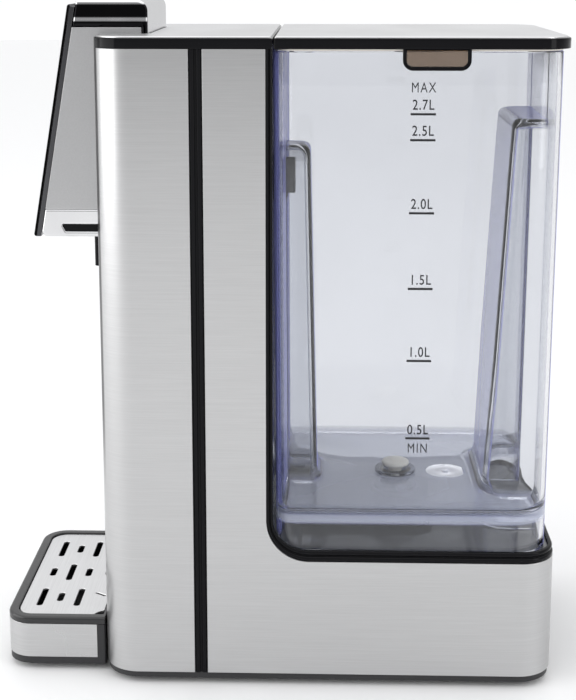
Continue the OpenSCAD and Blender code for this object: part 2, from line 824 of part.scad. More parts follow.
module lid_frame() {
    color([0.02, 0.02, 0.025]) {
        difference() {
            slab(body_half, lid_front, body_rear, 1, body_r, steel_top, deck_h - 0.7);
            slab(tank_half - 5, 7, tank_rear - 6, 4, 12, steel_top - 1, steel_top + 3);
        }
        for (s = [0, 1]) mirror([s, 0, 0]) side(tab_x0, tab_x1) difference() {
            tab_outline(0);
            tab_outline(tab_frame);
        }
    }
}

module lid_plate() {
    inset = 1.3;
    color([0.82, 0.82, 0.83]) slab(body_half - inset, lid_front + 0.5, body_rear - inset, 0.6, body_r - inset,
        deck_h - 0.7, deck_h);
}

module lid_window() {
    side(tab_x0 + 0.3, tab_x1 - 0.3) intersection() {
        tab_outline(tab_frame);
        translate([tab_y0 - 1, tab_low]) square([40, steel_top - tab_low]);
    }
}

module lid_window_right() {
    color([0.45, 0.38, 0.32, 0.6]) lid_window();
}

module lid_window_left() {
    color([0.45, 0.38, 0.32, 0.6]) mirror([1, 0, 0]) lid_window();
}

module lid_hooks() {
    color([0.04, 0.04, 0.045]) {
        side(-5, 5) polygon([[3.6, steel_top], [3.6, 298], [5.2, 292.4], [7.4, 291.4], [7.8, 292.6], [6.6, 294],
            [6, 298], [6.4, steel_top]]);
        side(-5, 5) polygon([[120.2, steel_top], [120.8, 298], [119.2, 293.4], [121.6, 291.2], [124.4, 294.4],
            [125.4, 298], [125.4, steel_top]]);
    }
}

module lid_seal() {
    color([0.8, 0.8, 0.8]) ring(tank_half - 0.3, tank_front + 0.3, tank_rear - 0.3, 7.7, body_r - 0.3, 1.6,
        steel_top - 0.9, steel_top);
}

// ---- drip tray ----

tray_wall = 2;
tray_edge_y = -87;
rim_low = 23.5;
rim_w = 4.6;

module tray_base() {
    color([0.05, 0.05, 0.055]) {
        difference() {
            slab(tray_half - 0.9, tray_front + 0.9, tray_rear, tray_r - 0.9, 1, foot_h, rim_low);
            slab(tray_half - 0.9 - tray_wall, tray_front + 0.9 + tray_wall, tray_rear - tray_wall, tray_r - 0.9 - tray_wall, 1,
                foot_h + 2, rim_low + 1);
        }
        slab(tray_half - 0.3, tray_front + 0.3, tray_rear, tray_r - 0.3, 1, foot_h, 6.4);
        for (s = [-1, 1]) block([s > 0 ? tray_half - 1.1 : -tray_half, tray_edge_y, foot_h],
            [s > 0 ? tray_half : -tray_half + 1.1, tray_rear - 0.5, rim_low]);
        for (s = [-1, 1]) block([s * tongue_x - 6, tray_rear - 1, tongue_z - 2], [s * tongue_x + 6, tray_rear + 10, tongue_z + 2.6]);
    }
}

module tray_band() {
    color([0.76, 0.76, 0.77]) intersection() {
        ring(tray_half, tray_front, 0, tray_r, 1, 0.85, 6.5, rim_low);
        block([-big, tray_front - 1, 0], [big, tray_edge_y - 0.05, big]);
    }
}

module tray_rim() {
    color([0.07, 0.07, 0.075]) difference() {
        slab(tray_half, tray_front, tray_rear, tray_r, 1, rim_low, tray_h);
        slab(tray_half - rim_w, tray_front + rim_w, tray_rear - 1.4, tray_r - rim_w + 1, 1.2, tray_h - 2.4, tray_h + 1);
        slab(tray_half - rim_w - 1.6, tray_front + rim_w + 1.6, tray_rear - 3, tray_r - rim_w, 1, rim_low - 1, tray_h + 1);
    }
}

module tray_feet() {
    color([0.08, 0.08, 0.08]) for (s = [-1, 1], y = [-120, -88]) translate([s * 46, y, 0]) cylinder(h = foot_h, r = 4);
}

slot_row_x = 30.6;
slot_col_y = -108.8;
slot_pitch = 9.2;
slot_w = 2.4;
slot_long = 20.3;
slot_short = 9.9;

module grille() {
    gap = 0.4;
    half = tray_half - rim_w - gap;
    y0 = tray_front + rim_w + gap;
    y1 = tray_rear - 1.4 - gap;
    color([0.8, 0.8, 0.81]) translate([0, 0, tray_h - 2]) linear_extrude(1.2) difference() {
        plan(half, y0, y1, tray_r - rim_w + 0.6, 1);
        for (row = [-1 : 1], col = [-1 : 1]) {
            is_long = (row == 0) ? (col == 0) : (col != 0);
            slot_x(row * slot_row_x, slot_col_y + col * slot_pitch, is_long ? slot_long : slot_short, slot_w);
        }
        translate([0, y1 - 1]) circle(r = 5.5);
        for (s = [-1, 1]) translate([s * 27, y1 - 3.5]) rotate(s * 55) slot_x(0, 0, 9, 1.4);
        for (s = [-1, 1]) translate([s * (half + 1), y1 + 1]) circle(r = 6.5);
    }
}

base_pan();
feet();
front_wrap();
side_panel_right();
side_panel_left();
accent_strip_right();
accent_strip_left();
cradle_trim();
tank_cradle();
tank_hook();
rear_cover();
cord_gland();
deck_band();
deck_plate();
inner_frame();
inlet_coupling();
coupling_seal();
suction_hose();
pump();
pump_mounts();
pump_hose();
flow_meter();
riser_hose();
heater();
heater_bracket();
thermostats();
outlet_hose();
hose_clamps();
power_board();
power_parts();
level_sensor_board();
case_screws();
head_core();
head_side_right();
head_side_left();
head_top_trim();
head_lower_band();
slot_inserts();
touch_frame();
touch_glass();
display_board();
spout();
tank_shell();
level_marks();
valve_bushing();
valve_collar();
valve_plunger();
valve_spring();
lid_frame();
lid_plate();
lid_window_right();
lid_window_left();
lid_hooks();
lid_seal();
tray_base();
tray_band();
tray_rim();
tray_feet();
grille();
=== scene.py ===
import math

import bmesh
import bpy
import numpy as np
from bpy.props import FloatProperty, FloatVectorProperty, IntProperty, PointerProperty
from mathutils import Matrix, Vector
from mathutils.geometry import tessellate_polygon


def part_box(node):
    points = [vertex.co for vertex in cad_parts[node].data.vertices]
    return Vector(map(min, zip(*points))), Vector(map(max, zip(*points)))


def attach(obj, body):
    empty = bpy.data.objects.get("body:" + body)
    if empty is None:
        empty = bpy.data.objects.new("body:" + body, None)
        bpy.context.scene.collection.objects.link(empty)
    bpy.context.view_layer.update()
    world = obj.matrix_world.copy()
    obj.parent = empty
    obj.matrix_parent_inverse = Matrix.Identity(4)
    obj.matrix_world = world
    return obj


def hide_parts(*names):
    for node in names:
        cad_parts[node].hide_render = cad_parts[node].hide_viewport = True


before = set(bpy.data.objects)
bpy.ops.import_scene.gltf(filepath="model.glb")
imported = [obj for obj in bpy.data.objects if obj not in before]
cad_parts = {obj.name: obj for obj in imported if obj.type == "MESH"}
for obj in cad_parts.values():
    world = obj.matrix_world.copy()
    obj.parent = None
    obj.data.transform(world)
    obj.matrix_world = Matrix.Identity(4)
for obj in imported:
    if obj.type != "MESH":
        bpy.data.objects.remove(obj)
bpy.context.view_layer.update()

bl_info = {
    "name": "Countertop water dispenser",
    "version": (1, 0, 0),
    "blender": (4, 5, 0),
    "location": "View3D > Sidebar > Dispenser",
    "description": "Dresses the packed frame of a countertop hot water dispenser with its surfaces and materials",
    "category": "Object",
}

MM = 0.001


def node_box(name):
    """A node's lowest and highest corner in millimetres."""
    low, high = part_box(name)
    return np.array(low) / MM, np.array(high) / MM


BODY_LOW, BODY_HIGH = node_box("front_wrap")
BODY_HALF = BODY_HIGH[0]
BODY_FRONT = BODY_LOW[1]
BODY_REAR = node_box("side_panel_right")[1][1]
RIM_TOP = BODY_LOW[2]
STEEL_TOP = BODY_HIGH[2]
STRIP_LOW, STRIP_HIGH = node_box("accent_strip_right")
PANEL_LOW = node_box("side_panel_right")[0]
DECK_LOW, DECK_HIGH = node_box("deck_plate")
BAND_LOW, BAND_HIGH = node_box("deck_band")
LID_LOW, LID_HIGH = node_box("lid_frame")
LID_PLATE_LOW, LID_PLATE_HIGH = node_box("lid_plate")
TANK_LOW, TANK_HIGH = node_box("tank_shell")
TRAY_LOW, TRAY_HIGH = node_box("tray_rim")
GRILLE_LOW, GRILLE_HIGH = node_box("grille")
HEAD_LOW, HEAD_HIGH = node_box("head_side_right")
CAP_HIGH = node_box("head_top_trim")[1]
HEAD_BAND_LOW, HEAD_BAND_HIGH = node_box("head_lower_band")
GLASS_LOW, GLASS_HIGH = node_box("touch_glass")
BUSH_LOW, BUSH_HIGH = node_box("valve_bushing")
MARK_LOW, MARK_HIGH = node_box("level_marks")
VALVE_Y = (BUSH_LOW[1] + BUSH_HIGH[1]) / 2
DIMPLE_Y, DIMPLE_RADIUS = 83.8, 10.0
TANK_FRONT = TANK_LOW[1] - 1.6
SKIRT_FOOT, CHANNEL_TOP, RECESS_TOP = 66, 249.0, 264.0
CHANNEL_ARCH, RECESS_ARCH, CEILING_ARCH = 7.0, 3.0, 4.0


# ---------------------------------------------------------------- sizes and colours


class DispenserSizes(bpy.types.PropertyGroup):
    """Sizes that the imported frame's boxes don't give."""

    body_corner: FloatProperty(
        name="Body corner", description="Radius of the body's upright corners", default=0.017, min=0.005, unit="LENGTH"
    )
    panel: FloatProperty(
        name="Panel", description="Thickness of the steel sheet", default=0.001, min=0.0005, unit="LENGTH"
    )
    panel_edge: FloatProperty(
        name="Panel edge", description="Width of the broken edge round each steel sheet", default=0.00022, min=0.00005,
        unit="LENGTH"
    )
    ledge: FloatProperty(name="Ledge", description="Height of the steel under the tank", default=0.0624, unit="LENGTH")
    column_edge: FloatProperty(
        name="Column edge", description="Y of the steel's edge beside the tank", default=-0.0046, unit="LENGTH"
    )
    hollow_corner: FloatProperty(
        name="Hollow corner", description="Radius where the column meets the ledge", default=0.02, unit="LENGTH"
    )
    tank_wall: FloatProperty(
        name="Tank wall", description="Wall of the clear tank", default=0.0022, min=0.001, unit="LENGTH"
    )
    tank_draft: FloatProperty(
        name="Tank draft", description="How far the tank's ends lean in towards its foot", default=0.0014, min=0.0,
        unit="LENGTH"
    )
    plate_roll: FloatProperty(
        name="Plate roll", description="Rolled edge of the top plates", default=0.0005, min=0.0001, unit="LENGTH"
    )
    figure_height: FloatProperty(
        name="Figure height", description="Height of the litre figures", default=0.0045, min=0.002, unit="LENGTH"
    )
    arc_steps: IntProperty(
        name="Arc steps", description="Segments in a quarter turn of a corner", default=10, min=4, max=24
    )


class DispenserColours(bpy.types.PropertyGroup):
    """Colours of the dispenser's finishes."""

    steel: FloatVectorProperty(
        name="Steel", description="Brushed steel of the body", subtype="COLOR", size=3, min=0, max=1,
        default=(0.525, 0.525, 0.527)
    )
    silver: FloatVectorProperty(
        name="Silver", description="Satin plates on the deck and lid", subtype="COLOR", size=3, min=0, max=1,
        default=(0.68, 0.68, 0.684)
    )
    head_silver: FloatVectorProperty(
        name="Head silver", description="Satin sides of the head", subtype="COLOR", size=3, min=0, max=1,
        default=(0.50, 0.50, 0.505)
    )
    gloss_black: FloatVectorProperty(
        name="Gloss black", description="Polished black trim", subtype="COLOR", size=3, min=0, max=1,
        default=(0.005, 0.005, 0.006)
    )
    moulded_black: FloatVectorProperty(
        name="Moulded black", description="Grained black mouldings", subtype="COLOR", size=3, min=0, max=1,
        default=(0.022, 0.022, 0.024)
    )
    tank_edge: FloatVectorProperty(
        name="Tank edges", description="Light leaving the clear tank's edges", subtype="COLOR", size=3,
        default=(0.33, 0.35, 0.78)
    )
    tank_tint: FloatVectorProperty(
        name="Tank tint", description="Tint of the clear tank", subtype="COLOR", size=3, min=0, max=1,
        default=(0.83, 0.84, 0.865)
    )
    smoke: FloatVectorProperty(
        name="Smoke", description="Tint of the lid's grip windows", subtype="COLOR", size=3, min=0, max=1,
        default=(0.30, 0.22, 0.16)
    )
    floor: FloatVectorProperty(
        name="Floor", description="Pale floor", subtype="COLOR", size=3, min=0, max=1, default=(0.93, 0.93, 0.93)
    )


# ---------------------------------------------------------------- surfaces


def rounded(corners, radii, inset=0.0, steps=None, support=0.5):
    """A closed outline with round corners, moved inwards by inset. Each edge moves along its left normal, so a
    corner goes to corner + inset * (n0 + n1) / (1 + n0 . n1). Its arc has radius r - turn * inset, from the tangent
    point on the edge before, turned about the arc's centre by the corner's angle times t, for t from 0 to 1. One
    point past each end of the arc keeps the straight parts straight."""
    steps = steps or bpy.context.scene.dispenser_sizes.arc_steps
    c = np.asarray(corners, float)
    d_in = c - np.roll(c, 1, 0)
    d_in /= np.linalg.norm(d_in, axis=1, keepdims=True)
    d_out = np.roll(d_in, -1, 0)
    n_in = np.stack([-d_in[:, 1], d_in[:, 0]], 1)
    n_out = np.roll(n_in, -1, 0)
    dot = (d_in * d_out).sum(1)
    turn = np.arctan2(d_in[:, 0] * d_out[:, 1] - d_in[:, 1] * d_out[:, 0], dot)
    c = c + inset * (n_in + n_out) / (1 + dot)[:, None]
    side = np.sign(np.where(np.abs(turn) < 1e-6, 0, turn))
    r = np.maximum(np.broadcast_to(np.asarray(radii, float), len(c)) - side * inset, 0.03)
    reach = r * np.tan(np.abs(turn) / 2)
    length = np.linalg.norm(np.roll(c, -1, 0) - c, axis=1)
    spare = np.clip((length - reach - np.roll(reach, -1)) * 0.3, 0.004, support)
    start = c - d_in * reach[:, None]
    spoke = -side[:, None] * n_in
    across = np.stack([-spoke[:, 1], spoke[:, 0]], 1)
    angle = turn[:, None] * np.linspace(0, 1, steps + 1)[None]
    swing = spoke[:, None] * np.cos(angle)[..., None] + across[:, None] * np.sin(angle)[..., None]
    arc = (start - spoke * r[:, None])[:, None] + r[:, None, None] * swing
    before = arc[:, 0] - d_in * np.roll(spare, 1)[:, None]
    after = arc[:, -1] + d_out * spare[:, None]
    return np.concatenate([before[:, None], arc, after[:, None]], 1).reshape(-1, 2)


def circle(x, y, r, count=48, clockwise=False):
    """Points centre + r * (cos a, sin a) for a once round."""
    a = np.linspace(0, 2 * np.pi, count, endpoint=False) * (-1 if clockwise else 1)
    return np.stack([x + r * np.cos(a), y + r * np.sin(a)], 1)


def lay(outline, level, axis="Z"):
    """An outline of (u, v) points in space: axis Z takes them as (x, y) at height level, axis X as (y, z) at x =
    level."""
    flat = np.full(len(outline), float(level))
    columns = (outline[:, 0], outline[:, 1], flat) if axis == "Z" else (flat, outline[:, 0], outline[:, 1])
    return np.stack(columns, 1)


def skin(rows, close_rows=False):
    """Quads over a grid of closed loops: point (j, i) joins (j, i + 1), (j + 1, i + 1) and (j + 1, i), round each
    loop, and from the last loop to the first too where close_rows is set."""
    rows = np.asarray(rows, float)
    index = np.arange(rows.shape[0] * rows.shape[1]).reshape(rows.shape[:2])
    upper = np.roll(index, -1, 0) if close_rows else index[1:]
    lower = index if close_rows else index[:-1]
    quads = np.stack([lower, np.roll(lower, -1, 1), np.roll(upper, -1, 1), upper], -1).reshape(-1, 4)
    return rows.reshape(-1, 3), quads.tolist()


def sheet(grid, keep=None):
    """Quads over an open grid of points, only in the cells where keep is true."""
    grid = np.asarray(grid, float)
    index = np.arange(grid.shape[0] * grid.shape[1]).reshape(grid.shape[:2])
    quads = np.stack([index[:-1, :-1], index[:-1, 1:], index[1:, 1:], index[1:, :-1]], -1)
    quads = quads.reshape(-1, 4) if keep is None else quads[keep]
    return grid.reshape(-1, 3), quads.tolist()


def fill(outlines, level, axis="Z", up=True):
    """Triangles inside the first outline and outside the others, at one level, facing up or down that axis."""
    flat = [np.column_stack([o, np.zeros(len(o))]) for o in outlines]
    triangles = np.array(tessellate_polygon([list(map(Vector, o.tolist())) for o in flat]))
    points = np.concatenate(outlines)
    a, b, c = (points[triangles[:, k]] for k in range(3))
    area = (b[:, 0] - a[:, 0]) * (c[:, 1] - a[:, 1]) - (b[:, 1] - a[:, 1]) * (c[:, 0] - a[:, 0])
    wrong = (area > 0) != up
    triangles[wrong] = triangles[wrong][:, ::-1]
    triangles = triangles[np.abs(area) > 1e-9]
    return lay(points, level, axis), triangles.tolist()


def join(parts):
    """One list of points and one of faces from several, each face's numbers raised by the points before it."""
    starts = np.cumsum([0] + [len(p) for p, _ in parts])
    faces = [[i + int(s) for i in f] for (_, fs), s in zip(parts, starts) for f in fs]
    return np.concatenate([p for p, _ in parts]), faces


def mirrored(part):
    """The part with x turned to -x and every face's order turned round, so that it still faces outwards."""
    points, faces = part
    return points * np.array([-1, 1, 1]), [f[::-1] for f in faces]


def edge_roll(low, high, roll_low, roll_high, steps=4, support=0.4):
    """(inset, level) pairs of a slab's edge: a quarter circle of radius roll_low at the foot, straight up, and one
    of roll_high at the top, with a point just inside each flat face."""
    a = np.linspace(0, np.pi / 2, steps + 1)
    foot = np.stack([roll_low * (1 - np.sin(a)), low + roll_low * (1 - np.cos(a))], 1)
    head = np.stack([roll_high * (1 - np.cos(a)), high - roll_high * (1 - np.sin(a))], 1)
    gap = max(min(support, (high - low - roll_low - roll_high) / 4), 0.004)
    middle = np.array([[0, low + roll_low + gap], [0, high - roll_high - gap]])
    return np.concatenate([[[roll_low + support, low]], foot, middle, head, [[roll_high + support, high]]])


def slab(outer, low, high, holes=(), roll=0.3, roll_low=None, axis="Z", steps=4):
    """A slab with rolled edges. Each outline, given as (corners, radii), is carried up the pairs of edge_roll, moved
    inwards by their inset, and flat faces close it below and above. Holes run clockwise."""
    section = edge_roll(low, high, roll if roll_low is None else roll_low, roll, steps)
    loops = [[rounded(c, r, inset) for inset, _ in section] for c, r in (outer, *holes)]
    walls = [skin([lay(o, level, axis) for o, (_, level) in zip(loop, section)]) for loop in loops]
    floor = fill([loop[0] for loop in loops], low, axis, up=False)
    top = fill([loop[-1] for loop in loops], high, axis, up=True)
    return join([*walls, floor, top])


def turned(profile, x, y, count=64):
    """A shape turned on the lathe about an upright axis at x, y: each (radius, height) pair of the profile goes once
    round."""
    profile = np.asarray(profile, float)
    a = np.linspace(0, 2 * np.pi, count, endpoint=False)
    ring = np.stack([np.cos(a), np.sin(a)], 1)
    rows = [np.column_stack([x + r * ring[:, 0], y + r * ring[:, 1], np.full(count, z)]) for r, z in profile]
    return skin(rows)


def box_outline(u0, v0, u1, v1):
    """The four corners of a rectangle, counterclockwise."""
    return np.array([[u0, v0], [u1, v0], [u1, v1], [u0, v1]], float)


def put(name, part, finish, body, stands_for=(), sharp=36):
    """Makes the points and faces a named piece in metres, welded and shaded smooth up to the angle sharp, on its
    body and in place of its CAD nodes."""
    points, faces = part
    mesh = bpy.data.meshes.new(name)
    mesh.from_pydata((points * MM).tolist(), [], faces)
    weld(mesh)
    return dress(name, mesh, finish, body, stands_for, sharp)


def put_sides(name, part, finish, body, node):
    """The part as the right piece and its mirror image as the left one. Name and node are what stands before
    _right and _left."""
    sides = (("right", part), ("left", mirrored(part)))
    return [put(f"{name}_{side}", half, finish, body, [f"{node}_{side}"]) for side, half in sides]


def dress(name, mesh, finish, body, stands_for, sharp):
    """Makes the mesh a piece: shaded smooth up to the angle sharp, in its finish, on its body and in place of its
    CAD nodes."""
    mesh.shade_smooth()
    mesh.set_sharp_from_angle(angle=math.radians(sharp))
    mesh.materials.append(finish_named(finish))
    piece = bpy.data.objects.new(name, mesh)
    bpy.context.scene.collection.objects.link(piece)
    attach(piece, body)
    if stands_for:
        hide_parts(*stands_for)
    return piece


def weld(mesh, distance=3e-6):
    """Merges points that lie on each other and drops faces of no area."""
    work = bmesh.new()
    work.from_mesh(mesh)
    bmesh.ops.remove_doubles(work, verts=work.verts, dist=distance)
    bmesh.ops.dissolve_degenerate(work, dist=1e-7, edges=work.edges)
    work.to_mesh(mesh)
    work.free()
    mesh.update()


def soften(node, name, finish, body, width=0.3, sharp=30, steps=2):
    """A merged copy of a CAD node's mesh with its hard edges rounded to the given width, standing for that node."""
    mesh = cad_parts[node].data.copy()
    mesh.name = name
    mesh.materials.clear()
    work = bmesh.new()
    work.from_mesh(mesh)
    bmesh.ops.remove_doubles(work, verts=work.verts, dist=2e-6)
    bmesh.ops.dissolve_limit(work, angle_limit=math.radians(1), verts=work.verts, edges=work.edges)
    work.to_mesh(mesh)
    work.free()
    piece = dress(name, mesh, finish, body, [node], sharp)
    round_edges(piece, width, sharp, steps)
    return piece


def round_edges(piece, width, sharp=30, steps=2):
    """A Bevel modifier of that width in millimetres on edges sharper than the angle."""
    bevel = piece.modifiers.new("Edges", "BEVEL")
    bevel.width = width * MM
    bevel.segments = steps
    bevel.limit_method = "ANGLE"
    bevel.angle_limit = math.radians(sharp)
    bevel.use_clamp_overlap = True
    bevel.harden_normals = True
    bevel.miter_outer = "MITER_ARC"


def thicken(piece, thickness):
    """A Solidify modifier that adds the thickness in millimetres on the inside of an open sheet."""
    wall = piece.modifiers.new("Wall", "SOLIDIFY")
    wall.thickness = thickness * MM
    wall.offset = -1
    wall.use_even_offset = True


# ---------------------------------------------------------------- shader nodes


def feed(tree, node, inputs):
    """Gives each named or numbered input of the node a plain value, or links another node's output to it."""
    for socket, value in inputs.items():
        if isinstance(value, bpy.types.NodeSocket):
            tree.links.new(value, node.inputs[socket])
        else:
            node.inputs[socket].default_value = value


def add(tree, kind, inputs=None, **settings):
    """A new shader node with its settings and its inputs."""
    node = tree.nodes.new("ShaderNode" + kind)
    for name, value in settings.items():
        setattr(node, name, value)
    feed(tree, node, inputs or {})
    return node


def maths(tree, operation, a, b=0.0, clamp=False):
    """The output of a Math node."""
    return add(tree, "Math", {0: a, 1: b}, operation=operation, use_clamp=clamp).outputs["Value"]


def ranged(tree, value, start, end, low=0.0, high=1.0):
    """An output that runs smoothly from low to high as the value goes from start to end."""
    limits = {"From Min": start, "From Max": end, "To Min": low, "To Max": high}
    return add(tree, "MapRange", {"Value": value, **limits}, interpolation_type="SMOOTHSTEP").outputs["Result"]


def blend(tree, factor, a, b, kind="RGBA"):
    """A colour, or with kind FLOAT a number, that runs from a to b as the factor goes from 0 to 1."""
    return add(tree, "Mix", {"Factor": factor, "A": a, "B": b}, data_type=kind).outputs["Result"]


def split_axes(tree, vector):
    """The outputs of a Separate XYZ node, by name."""
    return add(tree, "SeparateXYZ", {0: vector}).outputs


def colour_ramp(tree, factor, stops):
    """A colour that follows the factor through the stops, each (position, colour)."""
    ramp = add(tree, "ValToRGB", {"Fac": factor})
    elements = ramp.color_ramp.elements
    for element, (position, colour) in zip(elements, (stops[0], stops[-1])):
        element.position = position
        element.color = (*colour, 1)
    for position, colour in stops[1:-1]:
        elements.new(position).color = (*colour, 1)
    return ramp.outputs["Color"]


# ---------------------------------------------------------------- shared shader groups


def shared(name, inputs, outputs, build):
    """The shader node group of that name, built the first time it is asked for. Inputs hold a type and a default,
    outputs a type; build gets the group and its input sockets and returns the sockets that feed its outputs."""
    if name in bpy.data.node_groups:
        return bpy.data.node_groups[name]
    group = bpy.data.node_groups.new(name, "ShaderNodeTree")
    for label, (kind, default) in inputs.items():
        socket = group.interface.new_socket(name=label, in_out="INPUT", socket_type="NodeSocket" + kind)
        if default is not None:
            socket.default_value = default
    for label, kind in outputs.items():
        group.interface.new_socket(name=label, in_out="OUTPUT", socket_type="NodeSocket" + kind)
    source, sink = group.nodes.new("NodeGroupInput"), group.nodes.new("NodeGroupOutput")
    feed(group, sink, dict(zip(outputs, build(group, source.outputs))))
    return group


def brushed_grain():
    """Lines: noise on coordinates stretched along the brushing. Mottle: slow cloudy change."""

    def build(tree, given):
        along = add(tree, "VectorMath", {0: given["Vector"], 1: given["Stretch"]}, operation="MULTIPLY").outputs[0]
        lines = add(tree, "TexNoise", {"Vector": along, "Scale": 1.0, "Detail": 5.0, "Roughness": 0.62})
        mottle = add(tree, "TexNoise", {"Vector": given["Vector"], "Scale": given["Mottle Scale"], "Detail": 2.0})
        return lines.outputs["Fac"], mottle.outputs["Fac"]

    inputs = {"Vector": ("Vector", None), "Stretch": ("Vector", (20, 20, 2500)), "Mottle Scale": ("Float", 14.0)}
    return shared("Brushed grain", inputs, {"Lines": "Float", "Mottle": "Float"}, build)


def handling_marks():
    """Roughness between Low and High: faint smears, as hands and wiping leave them."""

    def build(tree, given):
        smear = add(tree, "TexNoise", {"Vector": given["Vector"], "Scale": given["Scale"], "Detail": 2.0})
        return [ranged(tree, smear.outputs["Fac"], 0.3, 0.7, given["Low"], given["High"])]

    inputs = {"Vector": ("Vector", None), "Scale": ("Float", 30.0), "Low": ("Float", 0.1), "High": ("Float", 0.2)}
    return shared("Handling marks", inputs, {"Roughness": "Float"}, build)


def moulded_grain():
    """Height: the fine pebble of a moulding's surface, in softened cells."""

    def build(tree, given):
        inputs = {"Vector": given["Vector"], "Scale": given["Scale"], "Smoothness": 0.6}
        return [add(tree, "TexVoronoi", inputs, feature="SMOOTH_F1").outputs["Distance"]]

    inputs = {"Vector": ("Vector", None), "Scale": ("Float", 1800.0)}
    return shared("Moulded grain", inputs, {"Height": "Float"}, build)


def settled_dust():
    """Color: the given colour with a little pale dust where the surface faces up, broken up by noise."""

    def build(tree, given):
        specks = add(tree, "TexNoise", {"Vector": given["Vector"], "Scale": 260.0, "Detail": 5.0}).outputs["Fac"]
        lying = maths(tree, "MULTIPLY", split_axes(tree, given["Normal"])["Z"], specks, clamp=True)
        amount = maths(tree, "MULTIPLY", lying, given["Amount"], clamp=True)
        return [blend(tree, amount, given["Color"], given["Dust"])]

    inputs = {
        "Vector": ("Vector", None),
        "Normal": ("Vector", None),
        "Color": ("Color", (0.02, 0.02, 0.02, 1)),
        "Dust": ("Color", (0.35, 0.34, 0.32, 1)),
        "Amount": ("Float", 0.05),
    }
    return shared("Settled dust", inputs, {"Color": "Color"}, build)


# ---------------------------------------------------------------- finishes


def start_finish(name):
    """A new material with its Principled BSDF, a Texture Coordinate node, and a function that places a shared group
    and gives its outputs."""
    material = bpy.data.materials.new(name)
    material.use_nodes = True
    tree = material.node_tree
    place = add(tree, "TexCoord")

    def use(group, **values):
        inputs = {label.replace("_", " "): value for label, value in values.items()}
        return add(tree, "Group", {"Vector": place.outputs["Object"], **inputs}, node_tree=group).outputs

    return material, tree, tree.nodes["Principled BSDF"], place, use


def add_bump(tree, surface, height, strength, distance):
    """Feeds a height to the surface's Normal through one Bump node."""
    bump = add(tree, "Bump", {"Strength": strength, "Distance": distance, "Height": height})
    feed(tree, surface, {"Normal": bump.outputs["Normal"]})


def repaint(material, build):
    """Puts build(tree, coordinates, colour) in place of what feeds the material's Base Color; coordinates are its
    Texture Coordinate outputs."""
    tree = material.node_tree
    base = tree.nodes["Principled BSDF"].inputs["Base Color"]
    plain = base.links[0].from_socket
    tree.links.new(build(tree, tree.nodes["Texture Coordinate"].outputs, plain), base)
    return material


def brushed_metal(name, colour, low, high, stretch, strength=0.12, contrast=0.10, anisotropy=0.0, mottle=14.0):
    """Metal with brushed lines: they shift the colour by the contrast either way and stand up as bump, and smears
    change the roughness."""
    material, tree, surface, _, use = start_finish(name)
    grain = use(brushed_grain(), Stretch=stretch, Mottle_Scale=mottle)
    marks = use(handling_marks(), Scale=22.0, Low=low, High=high)
    dark, light = (tuple(min(c * (1 + side * contrast), 1) for c in colour) for side in (-1, 1))
    lines = colour_ramp(tree, grain["Lines"], [(0.3, dark), (0.7, light)])
    feed(
        tree, surface,
        {"Base Color": lines, "Roughness": marks["Roughness"], "Metallic": 1.0, "Anisotropic": anisotropy}
    )
    if anisotropy:
        tangent = add(tree, "Tangent", direction_type="RADIAL", axis="Z")
        feed(tree, surface, {"Tangent": tangent.outputs["Tangent"]})
    add_bump(tree, surface, grain["Lines"], strength, 0.00004)
    return material


def steel_with_painted_reflection(name, colour, low, high, **options):
    """The body's brushed steel, with a painted dark reflection: it darkens to near black where its front corners turn
    away to the front, from a height just over the tray up to the deck."""
    side, front, height = (0.0505, 0.0525), (-0.0798, -0.0808), (0.085, 0.140)
    reflection_darkest = 0.93

    def paint_dark_reflection(tree, coordinates, plain):
        at = split_axes(tree, coordinates["Object"])
        turned_in = ranged(tree, maths(tree, "ABSOLUTE", at["X"]), *side)
        corner = maths(tree, "MULTIPLY", turned_in, ranged(tree, at["Y"], *front))
        amount = maths(tree, "MULTIPLY", corner, ranged(tree, at["Z"], *height, 0.0, reflection_darkest))
        # painted dark reflection: near-black blended into the steel along the front corners
        return blend(tree, amount, plain, (0.02, 0.02, 0.021, 1))

    return repaint(brushed_metal(name, colour, low, high, **options), paint_dark_reflection)


def plain_metal(name, colour, low, high, scale=60.0, ripple=0.02):
    """Plated or cast metal: a slow ripple in its bump and smears in its roughness."""
    material, tree, surface, _, use = start_finish(name)
    marks = use(handling_marks(), Scale=scale, Low=low, High=high)
    grain = use(brushed_grain(), Stretch=(120, 120, 120), Mottle_Scale=scale)
    cloudy = colour_ramp(tree, grain["Mottle"], [(0.3, tuple(c * 0.94 for c in colour)), (0.7, colour)])
    feed(tree, surface, {"Base Color": cloudy, "Roughness": marks["Roughness"], "Metallic": 1.0})
    add_bump(tree, surface, grain["Lines"], ripple, 0.0001)
    return material


def chrome_with_painted_reflection(name, colour, low, high, dark):
    """The cap's chrome: plain on top, and on its two flanks a painted dark reflection above and below one bright line
    of bare chrome.
    """
    line_low, line_high, dark_reflection_top = 0.25, 0.33, 0.82
    blur, top_blur = 0.05, 0.06
    flank_in, flank_out = 1.1, 0.7

    def paint_reflection_bands(tree, coordinates, plain):
        at = split_axes(tree, coordinates["Object"])
        half = CAP_HIGH[0]
        flank = ranged(tree, maths(tree, "ABSOLUTE", at["X"]), (half - flank_in) * MM, (half - flank_out) * MM)
        limits = {"From Min": HEAD_HIGH[2] * MM, "From Max": CAP_HIGH[2] * MM}
        height = add(tree, "MapRange", {"Value": at["Z"], **limits}).outputs["Result"]
        # painted dark reflection: black bands on the cap's flanks, with one line of bare chrome between them
        stops = [(0.0, dark), (line_low - blur, dark), (line_low, colour), (line_high, colour)]
        stops += [(line_high + blur, dark), (dark_reflection_top, dark), (dark_reflection_top + top_blur, colour), (1.0, colour)]
        return blend(tree, flank, plain, colour_ramp(tree, height, stops))

    return repaint(plain_metal(name, colour, low, high), paint_reflection_bands)


